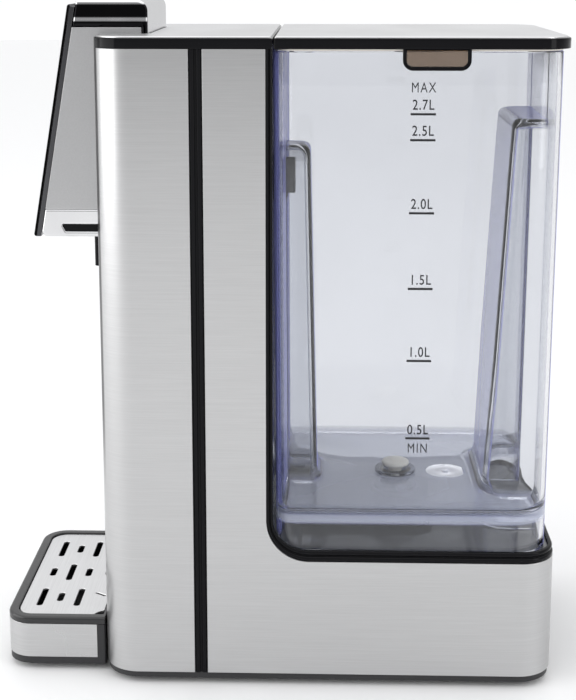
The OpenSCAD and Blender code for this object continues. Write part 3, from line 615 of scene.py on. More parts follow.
def moulding(name, colour, low, high, grain_scale=1800.0, grain=0.05, coat=0.0, dust=0.04, gloss=0.4):
    """Moulded plastic: pebbled bump, smears in its roughness, a little dust on top, and a clear coat where it is
    polished."""
    material, tree, surface, place, use = start_finish(name)
    marks = use(handling_marks(), Scale=40.0, Low=low, High=high)
    pale = use(settled_dust(), Color=(*colour, 1), Amount=dust, Normal=place.outputs["Normal"])
    feed(tree, surface, {"Base Color": pale["Color"], "Roughness": marks["Roughness"]})
    feed(tree, surface, {"Specular IOR Level": gloss, "Coat Weight": coat, "Coat Roughness": 0.03})
    if grain:
        add_bump(tree, surface, use(moulded_grain(), Scale=grain_scale)["Height"], grain, 0.00006)
    return material


def edge_glow(tree, surface, place, colour):
    """The surface mixed with a soft glow: in the edge colour by how edge on it is met and along the two upright
    front corners, and paler and weaker in the floor's thickness."""
    grazing_share, corner_share, floor_share = 0.65, 0.7, 0.28
    floor_glow = (0.62, 0.66, 0.80, 1)
    at = split_axes(tree, place.outputs["Object"])
    facing = add(tree, "LayerWeight", {"Blend": 0.5}).outputs["Facing"]
    grazing = ranged(tree, facing, 0.72, 1.0, 0.0, grazing_share)
    front = ranged(tree, at["Y"], (TANK_FRONT + 3.4) * MM, (TANK_FRONT + 1.0) * MM, 0.0, corner_share)
    corner = maths(tree, "MULTIPLY", front, ranged(tree, maths(tree, "ABSOLUTE", at["X"]), 0.054, 0.058))
    floor = maths(tree, "MULTIPLY", ranged(tree, at["Z"], 0.0798, 0.0812), ranged(tree, at["Z"], 0.0858, 0.0842))
    edges = maths(tree, "MAXIMUM", grazing, corner)
    amount = maths(tree, "MAXIMUM", edges, maths(tree, "MULTIPLY", floor, floor_share))
    glow = add(tree, "BsdfDiffuse", {"Color": blend(tree, floor, (*colour, 1), floor_glow)})
    return add(
        tree, "MixShader", {"Fac": amount, 1: surface.outputs["BSDF"], 2: glow.outputs["BSDF"]}
    ).outputs["Shader"]


def clear_moulding(name, tint, low, high, ior=1.46, ripple=0.0, edge=None):
    """Clear plastic: full transmission, faint smears, and shadows that let light through. With an edge colour, light
    that has run along the wall leaves in that colour where the wall is met edge on."""
    material, tree, surface, place, use = start_finish(name)
    marks = use(handling_marks(), Scale=18.0, Low=low, High=high)
    grain = use(brushed_grain(), Stretch=(16, 16, 16), Mottle_Scale=30.0)
    cloudy = colour_ramp(tree, grain["Mottle"], [(0.3, tuple(c * 0.985 for c in tint)), (0.7, tint)])
    feed(tree, surface, {"Base Color": cloudy, "Roughness": marks["Roughness"], "Transmission Weight": 1.0, "IOR": ior})
    if ripple:
        add_bump(tree, surface, grain["Mottle"], ripple, 0.0004)
    wall = edge_glow(tree, surface, place, scene_colour(edge)) if edge else surface.outputs["BSDF"]
    through = add(tree, "BsdfTransparent", {"Color": (*(c**0.5 for c in tint), 1)})
    shadow = add(tree, "LightPath").outputs["Is Shadow Ray"]
    mix = add(tree, "MixShader", {"Fac": shadow, 1: wall, 2: through.outputs["BSDF"]})
    feed(tree, tree.nodes["Material Output"], {"Surface": mix.outputs["Shader"]})
    return material


def scene_colour(colour):
    """The colour itself, or the scene's colour property of that name."""
    return tuple(getattr(bpy.context.scene.dispenser_colours, colour)) if isinstance(colour, str) else colour


def finish_named(name):
    """The material of that name, made from its recipe the first time it is asked for."""
    if name in bpy.data.materials:
        return bpy.data.materials[name]
    build, colour, low, high, options = FINISHES[name]
    return build(name, scene_colour(colour), low, high, **options)


BODY_BRUSHING = dict(stretch=(36, 36, 2600), strength=0.05, contrast=0.05, anisotropy=0.5)
TRAY_BRUSHING = dict(stretch=(36, 36, 2600), strength=0.08, contrast=0.07, anisotropy=0.4)
PLATE_BRUSHING = dict(stretch=(2200, 14, 2200), strength=0.08, contrast=0.05)
GRILLE_BRUSHING = dict(stretch=(30, 1800, 1800), strength=0.1, contrast=0.06)
HEAD_GRAIN = dict(stretch=(1500, 1500, 1500), strength=0.10, contrast=0.04, mottle=8.0)
CAST_GRAIN = dict(stretch=(900, 900, 900), strength=0.4, contrast=0.06)
POLISHED = dict(grain_scale=1200.0, grain=0.0, dust=0.01)


def grained(scale, grain, **more):
    """A moulding's grain scale and height, and whatever else it has."""
    return dict(grain_scale=scale, grain=grain, **more)


# Each finish: its builder, its colour, its lowest and highest roughness, and what else the builder takes
FINISHES = {
    # the body's brushed steel carries a painted dark reflection down its front corners
    "Brushed steel": (steel_with_painted_reflection, "steel", 0.285, 0.295, BODY_BRUSHING),
    "Tray steel": (brushed_metal, "steel", 0.24, 0.28, TRAY_BRUSHING),
    "Satin plate": (brushed_metal, "silver", 0.28, 0.36, PLATE_BRUSHING),
    "Grille steel": (brushed_metal, "silver", 0.30, 0.40, GRILLE_BRUSHING),
    "Head silver": (brushed_metal, "head_silver", 0.33, 0.42, HEAD_GRAIN),
    "Cast alloy": (brushed_metal, (0.52, 0.52, 0.54), 0.42, 0.55, CAST_GRAIN),
    "Chrome": (plain_metal, (0.74, 0.74, 0.75), 0.05, 0.10, {}),
    # the cap's chrome takes a painted dark reflection on its flanks
    "Lined chrome": (chrome_with_painted_reflection, (0.74, 0.74, 0.75), 0.05, 0.10, dict(dark=(0.012, 0.012, 0.013))),
    "Frame grey": (plain_metal, (0.09, 0.09, 0.095), 0.15, 0.25, {}),
    "Plated steel": (plain_metal, (0.60, 0.60, 0.62), 0.18, 0.3, {}),
    "Gloss black": (moulding, "gloss_black", 0.04, 0.10, dict(POLISHED, gloss=0.10)),
    "Cradle black": (moulding, (0.080, 0.082, 0.090), 0.05, 0.10, dict(POLISHED, gloss=0.7)),
    "Panel glass": (moulding, (0.006, 0.006, 0.007), 0.02, 0.05, dict(POLISHED, dust=0.0, gloss=0.25)),
    "Moulded black": (moulding, "moulded_black", 0.38, 0.5, grained(2200.0, 0.16)),
    "Soft black": (moulding, (0.018, 0.018, 0.019), 0.20, 0.30, grained(2600.0, 0.06, gloss=0.5)),
    "Rubber": (moulding, (0.018, 0.018, 0.018), 0.6, 0.75, grained(1400.0, 0.2)),
    "Scale print": (moulding, (0.012, 0.012, 0.014), 0.4, 0.55, grained(3000.0, 0.05, dust=0.0)),
    "Cream moulding": (moulding, (0.83, 0.81, 0.74), 0.28, 0.4, grained(2000.0, 0.04, dust=0.0)),
    "White moulding": (moulding, (0.80, 0.80, 0.77), 0.35, 0.5, grained(2000.0, 0.08)),
    "Grey moulding": (moulding, (0.22, 0.22, 0.235), 0.3, 0.42, grained(2000.0, 0.08)),
    "Silicone": (moulding, (0.80, 0.76, 0.70), 0.35, 0.5, grained(1600.0, 0.05)),
    "Red silicone": (moulding, (0.52, 0.12, 0.07), 0.4, 0.5, grained(1600.0, 0.05)),
    "Insulator": (moulding, (0.70, 0.62, 0.48), 0.4, 0.55, grained(1800.0, 0.1)),
    "Circuit green": (moulding, (0.02, 0.13, 0.05), 0.25, 0.35, grained(1500.0, 0.04, coat=0.3)),
    "Component dark": (moulding, (0.03, 0.03, 0.035), 0.35, 0.5, grained(1600.0, 0.1)),
    "Meter blue": (moulding, (0.04, 0.13, 0.32), 0.3, 0.4, grained(1800.0, 0.06)),
    "Pale floor": (moulding, "floor", 0.5, 0.6, dict(POLISHED, dust=0.0)),
    "Tank clear": (clear_moulding, "tank_tint", 0.0, 0.03, dict(ripple=0.02, edge="tank_edge")),
    "Bush clear": (clear_moulding, (0.86, 0.88, 0.92), 0.02, 0.08, {}),
    "Smoked clear": (clear_moulding, "smoke", 0.05, 0.12, {}),
}

# The CAD nodes that keep their own shape, and the finish each takes
NODE_FINISHES = {
    "Moulded black": ["tray_feet", "head_core", "base_pan"],
    "Rubber": ["feet", "pump_mounts"],
    "White moulding": ["inner_frame"],
    "Silicone": ["suction_hose", "pump_hose", "riser_hose", "outlet_hose", "lid_seal"],
    "Red silicone": ["coupling_seal"],
    "Grey moulding": ["inlet_coupling"],
    "Component dark": ["pump", "power_parts"],
    "Meter blue": ["flow_meter"],
    "Cast alloy": ["heater"],
    "Plated steel": ["heater_bracket", "hose_clamps", "case_screws"],
    "Insulator": ["thermostats"],
    "Circuit green": ["power_board", "level_sensor_board", "display_board"],
}


# ---------------------------------------------------------------- pieces of the body


def wrapped_path(front_y, rear_y, half, radius, steps, stops):
    """A plan path round the front from the right side to the left: straight, a quarter circle of the radius, along
    the front with a point at each of the stops, a quarter circle and straight again. The right half is worked out
    and mirrored."""
    a = np.linspace(0, np.pi / 2, steps + 1)
    corner = np.stack([half - radius + radius * np.cos(a), front_y + radius - radius * np.sin(a)], 1)
    flank = np.array([[half, rear_y], [half, front_y + radius + 0.6]])
    nose = np.array([[x, front_y] for x in (half - radius - 0.6, *stops)])
    right = np.concatenate([flank, corner, nose])
    return np.concatenate([right, right[::-1] * np.array([-1, 1])])


def raise_path(path, heights):
    """A grid from a plan path: point (j, i) is path point i at height j."""
    x = np.broadcast_to(path[:, 0], (len(heights), len(path)))
    y = np.broadcast_to(path[:, 1], (len(heights), len(path)))
    z = np.broadcast_to(np.asarray(heights, float)[:, None], x.shape)
    return np.stack([x, y, z], -1)


class DISPENSER_OT_front_wrap(bpy.types.Operator):
    """Steel sheet round the front, with its window behind the head and the tray's two slots"""

    bl_idname = "dispenser.front_wrap"
    bl_label = "Front wrap"

    def execute(self, context):
        sizes = context.scene.dispenser_sizes
        slot_in, slot_out, window = 19.0, 33.0, 24.0
        slot_z, window_z = (7.5, 13.5), (236.0, 292.0)
        path = wrapped_path(
            BODY_FRONT, BODY_HIGH[1], BODY_HALF, sizes.body_corner / MM, 2 * sizes.arc_steps,
            (slot_out, window, slot_in)
        )
        heights = [RIM_TOP, slot_z[0], slot_z[1], window_z[0], window_z[1], STEEL_TOP]
        grid = raise_path(path, heights)[:, ::-1]
        x = (grid[:-1, :-1, 0] + grid[:-1, 1:, 0]) / 2
        y = (grid[:-1, :-1, 1] + grid[:-1, 1:, 1]) / 2
        z = (grid[:-1, :-1, 2] + grid[1:, :-1, 2]) / 2
        front = y < BODY_FRONT + 0.1
        in_slot = front & (np.abs(x) > slot_in) & (np.abs(x) < slot_out) & (z > slot_z[0]) & (z < slot_z[1])
        in_window = front & (np.abs(x) < window) & (z > window_z[0]) & (z < window_z[1])
        piece = put(
            "steel_front", sheet(grid, ~(in_slot | in_window)), "Brushed steel", "housing",
            ["front_wrap"]
        )
        thicken(piece, sizes.panel / MM)
        round_edges(piece, sizes.panel_edge / MM)
        return {"FINISHED"}


def side_sheet(sizes):
    """The right side's steel. The column is a flat grid; the base is a grid whose top follows the hollow corner,
    top = centre - sqrt(r^2 - (y - centre)^2), then the ledge, along the flank and round the rear corner."""
    edge, ledge, hollow = sizes.column_edge / MM, sizes.ledge / MM, sizes.hollow_corner / MM
    radius, steps = sizes.body_corner / MM, sizes.arc_steps
    a = np.linspace(0, np.pi / 2, 2 * steps + 1)
    bend_y = edge + hollow * (1 - np.cos(a))
    bend_top = ledge + hollow * (1 - np.sin(a))
    flank_y = np.array([edge + hollow + 1.0, BODY_REAR - radius - 0.6])
    rear_x = BODY_HALF - radius + radius * np.cos(a)
    rear_y = BODY_REAR - radius + radius * np.sin(a)
    x = np.concatenate([np.full(len(a) + 2, BODY_HALF), rear_x])
    y = np.concatenate([bend_y, flank_y, rear_y])
    top = np.concatenate([bend_top, np.full(2 + len(a), ledge)])
    rows = np.array([0, 0.02, 0.35, 0.7, 1.0])[:, None]
    z = RIM_TOP + rows * (top - RIM_TOP)
    base = np.stack([np.broadcast_to(x, z.shape), np.broadcast_to(y, z.shape), z], -1)
    upper = [z[-1, 0] + 40, 200.0, STEEL_TOP]
    heights = np.concatenate([z[:, 0], upper])
    stops = np.array([PANEL_LOW[1], PANEL_LOW[1] + 1.5, edge - 1.5, edge])
    column = raise_path(np.column_stack([np.full(len(stops), BODY_HALF), stops]), heights)
    return join([sheet(column), sheet(base)])


class DISPENSER_OT_side_panels(bpy.types.Operator):
    """The two L-shaped steel sides, each bent round its rear corner"""

    bl_idname = "dispenser.side_panels"
    bl_label = "Side panels"

    def execute(self, context):
        sizes = context.scene.dispenser_sizes
        sides = put_sides("steel_side", side_sheet(sizes), "Brushed steel", "housing", "side_panel")
        for piece in sides:
            thicken(piece, sizes.panel / MM)
            round_edges(piece, sizes.panel_edge / MM)
        return {"FINISHED"}


class DISPENSER_OT_accent_strips(bpy.types.Operator):
    """Black upright strips with two ribs in the gap between the steel sheets"""

    bl_idname = "dispenser.accent_strips"
    bl_label = "Accent strips"

    def execute(self, context):
        y0, y1 = STRIP_LOW[1], STRIP_HIGH[1]
        x0, x1 = BODY_HALF - 2.4, STRIP_HIGH[0]
        floor_x = x1 - 0.75
        rib, gap = 1.9, 0.55
        half_section = [
            (x0, y0 + 0.05), (floor_x, y0 + 0.05), (floor_x, y0 + gap), (x1, y0 + gap), (x1, y0 + gap + rib),
            (floor_x, y0 + gap + rib)
        ]
        other_half = [
            (floor_x, y1 - gap - rib), (x1, y1 - gap - rib), (x1, y1 - gap), (floor_x, y1 - gap), (floor_x, y1 - 0.05),
            (x0, y1 - 0.05)
        ]
        corners = half_section + other_half
        radii = [0.1, 0.1, 0.2, 0.5, 0.5, 0.25, 0.25, 0.5, 0.5, 0.2, 0.1, 0.1]
        right = slab((corners, radii), STRIP_LOW[2], STRIP_HIGH[2], roll=0.05)
        put_sides("strip", right, "Gloss black", "housing", "accent_strip")
        return {"FINISHED"}


class DISPENSER_OT_cradle_trim(bpy.types.Operator):
    """Gloss edge round the cradle: two beads with a groove, down the column, through the hollow corner, along the
    ledge and round the back"""

    bl_idname = "dispenser.cradle_trim"
    bl_label = "Cradle trim"

    def execute(self, context):
        """A bead profile carried along a path: point = path + outward * depth + across * width * share. The width
        grows from the column's to the ledge's through the hollow corner."""
        sizes = context.scene.dispenser_sizes
        edge, ledge, hollow = sizes.column_edge / MM + 0.03, sizes.ledge / MM + 0.03, sizes.hollow_corner / MM
        radius = sizes.body_corner / MM
        narrow, wide = 3.0, 67.7 - ledge
        a = np.linspace(0, np.pi / 2, 25)
        zeros = np.zeros_like(a)
        bend = np.stack([zeros + BODY_HALF, edge + hollow * (1 - np.cos(a)), ledge + hollow * (1 - np.sin(a))], 1)
        bend_across = np.stack([zeros, np.cos(a), np.sin(a)], 1)
        turn = np.stack(
            [BODY_HALF - radius + radius * np.cos(a), BODY_REAR - radius + radius * np.sin(a), zeros + ledge], 1
        )
        turn_out = np.stack([np.cos(a), np.sin(a), zeros], 1)
        column = [[BODY_HALF, edge, STEEL_TOP], [BODY_HALF, edge, ledge + hollow + 1]]
        flank = [[BODY_HALF, edge + hollow + 1, ledge], [BODY_HALF, BODY_REAR - radius - 1, ledge]]
        path = np.concatenate([column, bend, flank, turn])
        outward = np.concatenate([np.tile([1.0, 0, 0], (len(a) + 4, 1)), turn_out])
        across = np.concatenate([[[0, 1.0, 0]] * 2, bend_across, np.tile([0, 0, 1.0], (len(a) + 2, 1))])
        width = np.concatenate(
            [[narrow] * 2, narrow + (wide - narrow) * (1 - np.cos(2 * a)) / 2, [wide] * (len(a) + 2)]
        )
        flip = np.array([-1, 1, 1])
        path = np.concatenate([path, path[::-1] * flip])
        outward = np.concatenate([outward, outward[::-1] * flip])
        across = np.concatenate([across, across[::-1] * flip])
        width = np.concatenate([width, width[::-1]])
        t = np.linspace(0, np.pi, 9)

        def bead(v0, v1, deep, high):
            return np.stack([deep + (high - deep) * np.sin(t), v0 + (v1 - v0) * (1 - np.cos(t)) / 2], 1)

        foot, groove, rim = [[-2.2, 0.0]], [[-1.0, 0.475], [-1.0, 0.525]], [[-2.2, 1.0]]
        section = np.concatenate([foot, bead(0.0, 0.46, -0.8, -0.02), groove, bead(0.54, 1.0, -1.3, -0.42), rim])
        depth, share = section[:, 0, None, None], section[:, 1, None, None]
        grid = path[None] + outward[None] * depth + across[None] * (width[None, :, None] * share)
        loops = grid.transpose(1, 0, 2)
        points, faces = skin(loops)
        ends = [list(range(len(section))), list(range(len(points) - len(section), len(points)))[::-1]]
        put(
            "cradle_edge", outwards((points, faces + ends)), "Gloss black", "housing", ["cradle_trim"],
            sharp=40
        )
        return {"FINISHED"}


def outwards(part):
    """The part with all its faces turned round if its signed volume, the sum of a . (b x c) / 6 over its triangles,
    is negative."""
    points, faces = part
    triangles = np.array([(f[0], f[k], f[k + 1]) for f in faces for k in range(1, len(f) - 1)])
    a, b, c = (points[triangles[:, k]] for k in range(3))
    volume = np.einsum("ij,ij->i", a, np.cross(b, c)).sum() / 6
    return part if volume > 0 else (points, [f[::-1] for f in faces])


class DISPENSER_OT_cradle(bpy.types.Operator):
    """Black mouldings that hold the tank, the column's hook, the rear cover and the cord's inlet"""

    bl_idname = "dispenser.cradle"
    bl_label = "Cradle and rear cover"

    def execute(self, context):
        soften("tank_cradle", "cradle_moulding", "Cradle black", "housing", 0.8)
        soften("tank_hook", "column_hook", "Soft black", "housing", 1.2, steps=4)
        soften("rear_cover", "rear_vent_cover", "Moulded black", "housing", 0.3)
        soften("cord_gland", "cord_inlet_gland", "Rubber", "housing", 0.4)
        return {"FINISHED"}


class DISPENSER_OT_deck(bpy.types.Operator):
    """Gloss band and satin plate of the deck, notched round the head"""

    bl_idname = "dispenser.deck"
    bl_label = "Deck"

    def execute(self, context):
        sizes = context.scene.dispenser_sizes
        radius, roll = sizes.body_corner / MM, sizes.plate_roll / MM
        notch, notch_y = 39.8, CAP_HIGH[1] + 0.3

        def outline(half, y0, y1, r, half_notch, rear_notch):
            corners = [
                (-half, y0), (-half_notch, y0), (-half_notch, rear_notch), (half_notch, rear_notch), (half_notch, y0),
                (half, y0), (half, y1), (-half, y1)
            ]
            return corners, [r, 0.3, 0.3, 0.3, 0.3, r, 0.4, 0.4]

        band = outline(BODY_HALF, BODY_FRONT, BAND_HIGH[1], radius, notch, notch_y)
        put(
            "deck_edge", slab(band, BAND_LOW[2] + 0.02, BAND_HIGH[2], roll=0.6, roll_low=0.25), "Gloss black",
            "housing", ["deck_band"]
        )
        inset = BODY_HALF - DECK_HIGH[0]
        plate = outline(DECK_HIGH[0], DECK_LOW[1], DECK_HIGH[1], radius - inset, notch + 0.6, notch_y + 0.6)
        put(
            "deck_cover", slab(plate, DECK_LOW[2] - 0.2, DECK_HIGH[2], roll=roll, roll_low=0.1), "Satin plate",
            "housing", ["deck_plate"]
        )
        return {"FINISHED"}


class DISPENSER_OT_lid(bpy.types.Operator):
    """Lift-off lid: gloss band with the two grip frames, satin plate, smoked windows and snap hooks"""

    bl_idname = "dispenser.lid"
    bl_label = "Lid"

    def execute(self, context):
        sizes = context.scene.dispenser_sizes
        radius, roll = sizes.body_corner / MM, sizes.plate_roll / MM
        band = (box_outline(-BODY_HALF, LID_LOW[1], BODY_HALF, BODY_REAR), [1.0, 1.0, radius, radius])
        parts = [slab(band, STEEL_TOP + 0.02, LID_HIGH[2], roll=0.6, roll_low=0.25)]
        window_low, window_high = node_box("lid_window_right")
        frame_w = 1.7
        y0, y1, z0 = window_low[1] - frame_w, window_high[1] + frame_w, window_low[2] - frame_w
        outer = (box_outline(y0, z0, y1, STEEL_TOP + 0.6), [4.5, 4.5, 0.2, 0.2])
        hole = (box_outline(window_low[1], window_low[2], window_high[1], STEEL_TOP - 0.2)[::-1], [0.3, 0.3, 2.8, 2.8])
        grip = slab(outer, window_low[0] - 0.3, window_high[0] + 0.3, [hole], roll=0.5, axis="X")
        put("lid_edge", join([*parts, grip, mirrored(grip)]), "Gloss black", "lid", ["lid_frame"])
        inset = BODY_HALF - LID_PLATE_HIGH[0]
        plate = (
            box_outline(-LID_PLATE_HIGH[0], LID_PLATE_LOW[1], LID_PLATE_HIGH[0], LID_PLATE_HIGH[1]),
            [0.6, 0.6, radius - inset, radius - inset]
        )
        put(
            "lid_cover", slab(plate, LID_PLATE_LOW[2] - 0.2, LID_PLATE_HIGH[2], roll=roll, roll_low=0.1), "Satin plate",
            "lid", ["lid_plate"]
        )
        pane = (
            box_outline(window_low[1] + 0.02, window_low[2] + 0.02, window_high[1] - 0.02, STEEL_TOP - 0.25),
            [2.8, 2.8, 0.3, 0.3]
        )
        glass = slab(pane, window_low[0], window_high[0], roll=0.15, axis="X")
        put_sides("lid_pane", glass, "Smoked clear", "lid", "lid_window")
        soften("lid_hooks", "lid_snap_hooks", "Gloss black", "lid", 0.3)
        return {"FINISHED"}


# ---------------------------------------------------------------- head


class DISPENSER_OT_head(bpy.types.Operator):
    """Dispensing head: satin sides, bright cap and lower band, touch glass in its frame, slot inserts and spout"""

    bl_idname = "dispenser.head"
    bl_label = "Head"

    def execute(self, context):
        half = HEAD_HIGH[0]
        low, high = GLASS_LOW[2], GLASS_HIGH[2]
        thick, stack, band_top, cap_low = 1.35, 3.6, HEAD_LOW[2], HEAD_HIGH[2]
        glass_y = lambda z: GLASS_LOW[1] + (z - low) * (GLASS_HIGH[1] - thick - GLASS_LOW[1]) / (high - low)
        face, rear = HEAD_BAND_HIGH[1], CAP_HIGH[1]

        side = [
            (glass_y(band_top) + stack, band_top), (face, band_top), (face, STEEL_TOP), (rear - 3, STEEL_TOP),
            (rear - 3, cap_low), (glass_y(cap_low) + stack, cap_low)
        ]
        panel = slab((side, [0.2, 0.2, 0.2, 0.2, 0.2, 0.2]), half - 2, half, roll=0.35, axis="X")
        put_sides("head_flank", panel, "Head silver", "housing", "head_side")

        cap_half = CAP_HIGH[0]
        cap = [
            (glass_y(cap_low) + stack, cap_low), (rear - 3, cap_low), (rear - 3, STEEL_TOP + 0.1),
            (rear, STEEL_TOP + 0.1), (rear, CAP_HIGH[2]), (glass_y(CAP_HIGH[2]) + stack, CAP_HIGH[2])
        ]
        # the cap's flanks carry a painted dark reflection around one bright line of bare chrome
        put(
            "head_cap",
            slab((cap, [0.2, 0.2, 0.2, 0.3, 5.0, 0.8]), -cap_half, cap_half, roll=1.4, roll_low=1.4, axis="X", steps=6),
            "Lined chrome", "housing", ["head_top_trim"]
        )

        foot = HEAD_BAND_LOW[2]
        band = [(glass_y(foot) + stack, foot), (face, foot), (face, band_top), (glass_y(band_top) + stack, band_top)]
        insert_low, insert_high = node_box("slot_inserts")
        slot = [
            (insert_low[1] + 1.6, insert_low[2]), (face - 1, insert_low[2]), (face - 1, insert_high[2]),
            (insert_low[1], insert_high[2])
        ]
        lower = slab(
            (band, [2.4, 0.3, 0.2, 0.3]), -cap_half, cap_half, [(slot[::-1], [0.5, 0.3, 0.3, 0.8])], roll=0.7,
            roll_low=0.7, axis="X"
        )
        put("head_band", lower, "Chrome", "housing", ["head_lower_band"])
        soften("slot_inserts", "head_slots", "Gloss black", "housing", 0.1)

        glass = [(glass_y(low), low), (glass_y(low) + thick, low), (glass_y(high) + thick, high), (glass_y(high), high)]
        put(
            "head_glass", slab((glass, [1.1, 0.2, 0.1, 1.2]), -cap_half, cap_half, roll=0.6, roll_low=0.6, axis="X"),
            "Panel glass", "housing", ["touch_glass"]
        )
        soften("touch_frame", "head_glass_frame", "Frame grey", "housing", 0.25)
        soften("spout", "pouring_spout", "Gloss black", "housing", 0.4, steps=3)
        return {"FINISHED"}


# ---------------------------------------------------------------- tank


def tank_outline(z, inset, sizes, channel_top, recess_top):
    """The tank's plan outline at height z, counterclockwise: a rounded rectangle whose front wall steps in for the
    hook's channel and whose rear wall steps in for the grip recess. The depth of each is its slope times height
    below its ceiling and nothing above it, and its width closes on a quarter circle under the ceiling."""
    share = (z - TANK_LOW[2]) / (TANK_HIGH[2] - TANK_LOW[2])
    lean = sizes.tank_draft / MM * (1 - share)
    half, front, rear = TANK_HIGH[0], TANK_FRONT + lean, TANK_HIGH[1] - lean
    channel_half, channel_low, channel_high = 12.5, 17.0, 12.6
    recess_half, recess_low, recess_high = 32.4, 101.0, 111.0

    def arch(top, half_width, r):
        rise = np.clip((z - (top - r)) / r, 0, 1)
        return half_width - r * (1 - math.sqrt(max(1 - rise * rise, 0)))

    def between(low, high, top):
        return low + (high - low) * np.clip((z - SKIRT_FOOT) / (top - SKIRT_FOOT), 0, 1)

    channel_y = between(channel_low, channel_high, CHANNEL_TOP)
    recess_y = between(recess_low, recess_high, RECESS_TOP)
    deep = z <= channel_top
    open_back = z <= recess_top
    closed = 0.05
    cw = arch(channel_top, channel_half, CHANNEL_ARCH) if deep else channel_half - CHANNEL_ARCH
    rw = arch(recess_top, recess_half, RECESS_ARCH) if open_back else recess_half - RECESS_ARCH
    cy = channel_y - CEILING_ARCH + arch(channel_top, CEILING_ARCH, CEILING_ARCH) if deep else front
    ry = recess_y + CEILING_ARCH - arch(recess_top, CEILING_ARCH, CEILING_ARCH) if open_back else rear
    channel = [(-half, front), (-cw, front), (-cw, cy), (cw, cy), (cw, front), (half, front)]
    recess = [(half, rear), (rw, rear), (rw, ry), (-rw, ry), (-rw, rear), (-half, rear)]
    corners = np.array(channel + recess, float)
    tiny = np.array([0, 1e-4])
    if not deep:
        corners[2:4] += tiny
    if not open_back:
        corners[8:10] -= tiny
    channel_mouth, channel_corner = (1.2, 1.6) if deep else (closed, closed)
    recess_mouth = 2.0 if open_back else closed
    recess_corner = 10.0 - 6.0 * np.clip((z - 90) / 60, 0, 1) if open_back else closed
    front_corner, rear_corner = 8.0, 17.0
    front_radii = [front_corner, channel_mouth, channel_corner, channel_corner, channel_mouth, front_corner]
    rear_radii = [rear_corner, recess_mouth, recess_corner, recess_corner, recess_mouth, rear_corner]
    radii = front_radii + rear_radii
    return rounded(corners, radii, inset, steps=8)


class DISPENSER_OT_tank(bpy.types.Operator):
    """Clear tank: one wall from the floor's underside over the skirt, up the outside, over the rim and down the
    inside to the floor"""

    bl_idname = "dispenser.tank"
    bl_label = "Tank"

    def execute(self, context):
        """Rows of the plan outline carried up and down the wall: point (j, i) is outline point i at row j's height
        and inset. The toe under the front wall lifts each point's height by a quarter circle in y."""
        sizes = context.scene.dispenser_sizes
        wall = sizes.tank_wall / MM
        foot, top = TANK_LOW[2], TANK_HIGH[2]
        floor_low, floor_top = 81.5, 83.7
        hole, cove = 8.0, 6.5
        outside = (CHANNEL_TOP, RECESS_TOP)
        inside = (CHANNEL_TOP + wall, RECESS_TOP + wall)
        a = np.linspace(0, np.pi / 2, 9)

        def ceilings(level_a, level_b):
            arch_a = level_a - CHANNEL_ARCH * (1 - np.sin(np.linspace(0, np.pi / 2, 8)))
            arch_b = level_b - RECESS_ARCH * (1 - np.sin(np.linspace(0, np.pi / 2, 6)))
            return np.concatenate([arch_a, [level_a + 1e-3], arch_b, [level_b + 1e-3]])

        levels = [105, 120, 140, 150, 200, 230, 280, top - 1.0]
        up = np.unique(np.concatenate([[foot, foot + 2, foot + 5, 74, 84, 90, *levels], ceilings(*outside)]))
        down = np.unique(np.concatenate([[floor_top + cove, 93, *levels], ceilings(*inside)]))[::-1]
        rows = [(z, wall, *outside) for z in (floor_low, 76, 70, foot + 0.6)]
        rows += [(foot, wall - 0.6, *outside), (foot, 0.5, *outside)]
        rows += [(z + (0.5 if z == foot else 0.0), 0.0, *outside) for z in up]
        rim = [(top - 0.3, 0.1), (top, 0.6), (top, wall - 0.6), (top - 0.3, wall - 0.1)]
        rows += [(z, inset, *outside) for z, inset in rim]
        rows += [(z, wall, *inside) for z in down]
        rows += [(floor_top + cove * (1 - math.sin(t)), wall + cove * (1 - math.cos(t)), *inside) for t in a[1:]]
        loops = [toe(lay(tank_outline(z, inset, sizes, *tops), z), foot) for z, inset, *tops in rows]
        inner_edge = tank_outline(floor_top, wall + cove, sizes, *inside)
        under_edge = tank_outline(floor_low, wall, sizes, *outside)
        ring = circle(0, VALVE_Y, hole, 48, clockwise=True)
        dimple = circle(0, DIMPLE_Y, DIMPLE_RADIUS, 40, clockwise=True)
        floor = fill([inner_edge, ring, dimple], floor_top, up=True)
        dish_profile = [
            (DIMPLE_RADIUS, floor_top), (9.6, floor_top - 0.15), (9.0, floor_top - 0.5), (2.4, floor_top - 0.5),
            (2.0, floor_top - 0.2), (1.6, floor_top + 0.4), (0.8, floor_top + 0.7), (0.02, floor_top + 0.75)
        ]
        dish = skin([lay(circle(0, DIMPLE_Y, r, 40, clockwise=True), z) for r, z in dish_profile])
        under = fill([under_edge, ring], floor_low, up=False)
        bore = skin([lay(ring, floor_low), lay(ring, floor_top)])
        put(
            "clear_tank", join([skin(loops), floor, under, bore, dish]), "Tank clear", "tank",
            ["tank_shell"], sharp=42
        )
        return {"FINISHED"}


def toe(loop, foot, radius=16.0):
    """Raises the skirt's front foot: a point nearer the front than the toe's radius goes no lower than the quarter
    circle centre_z - sqrt(radius^2 - (centre_y - y)^2)."""
    reach = np.clip(TANK_FRONT + radius - loop[:, 1], 0, radius)
    lowest = foot + radius - np.sqrt(radius**2 - reach**2)
    out = loop.copy()
    out[:, 2] = np.maximum(out[:, 2], lowest + (out[:, 2] - foot) * 1e-3)
    return out


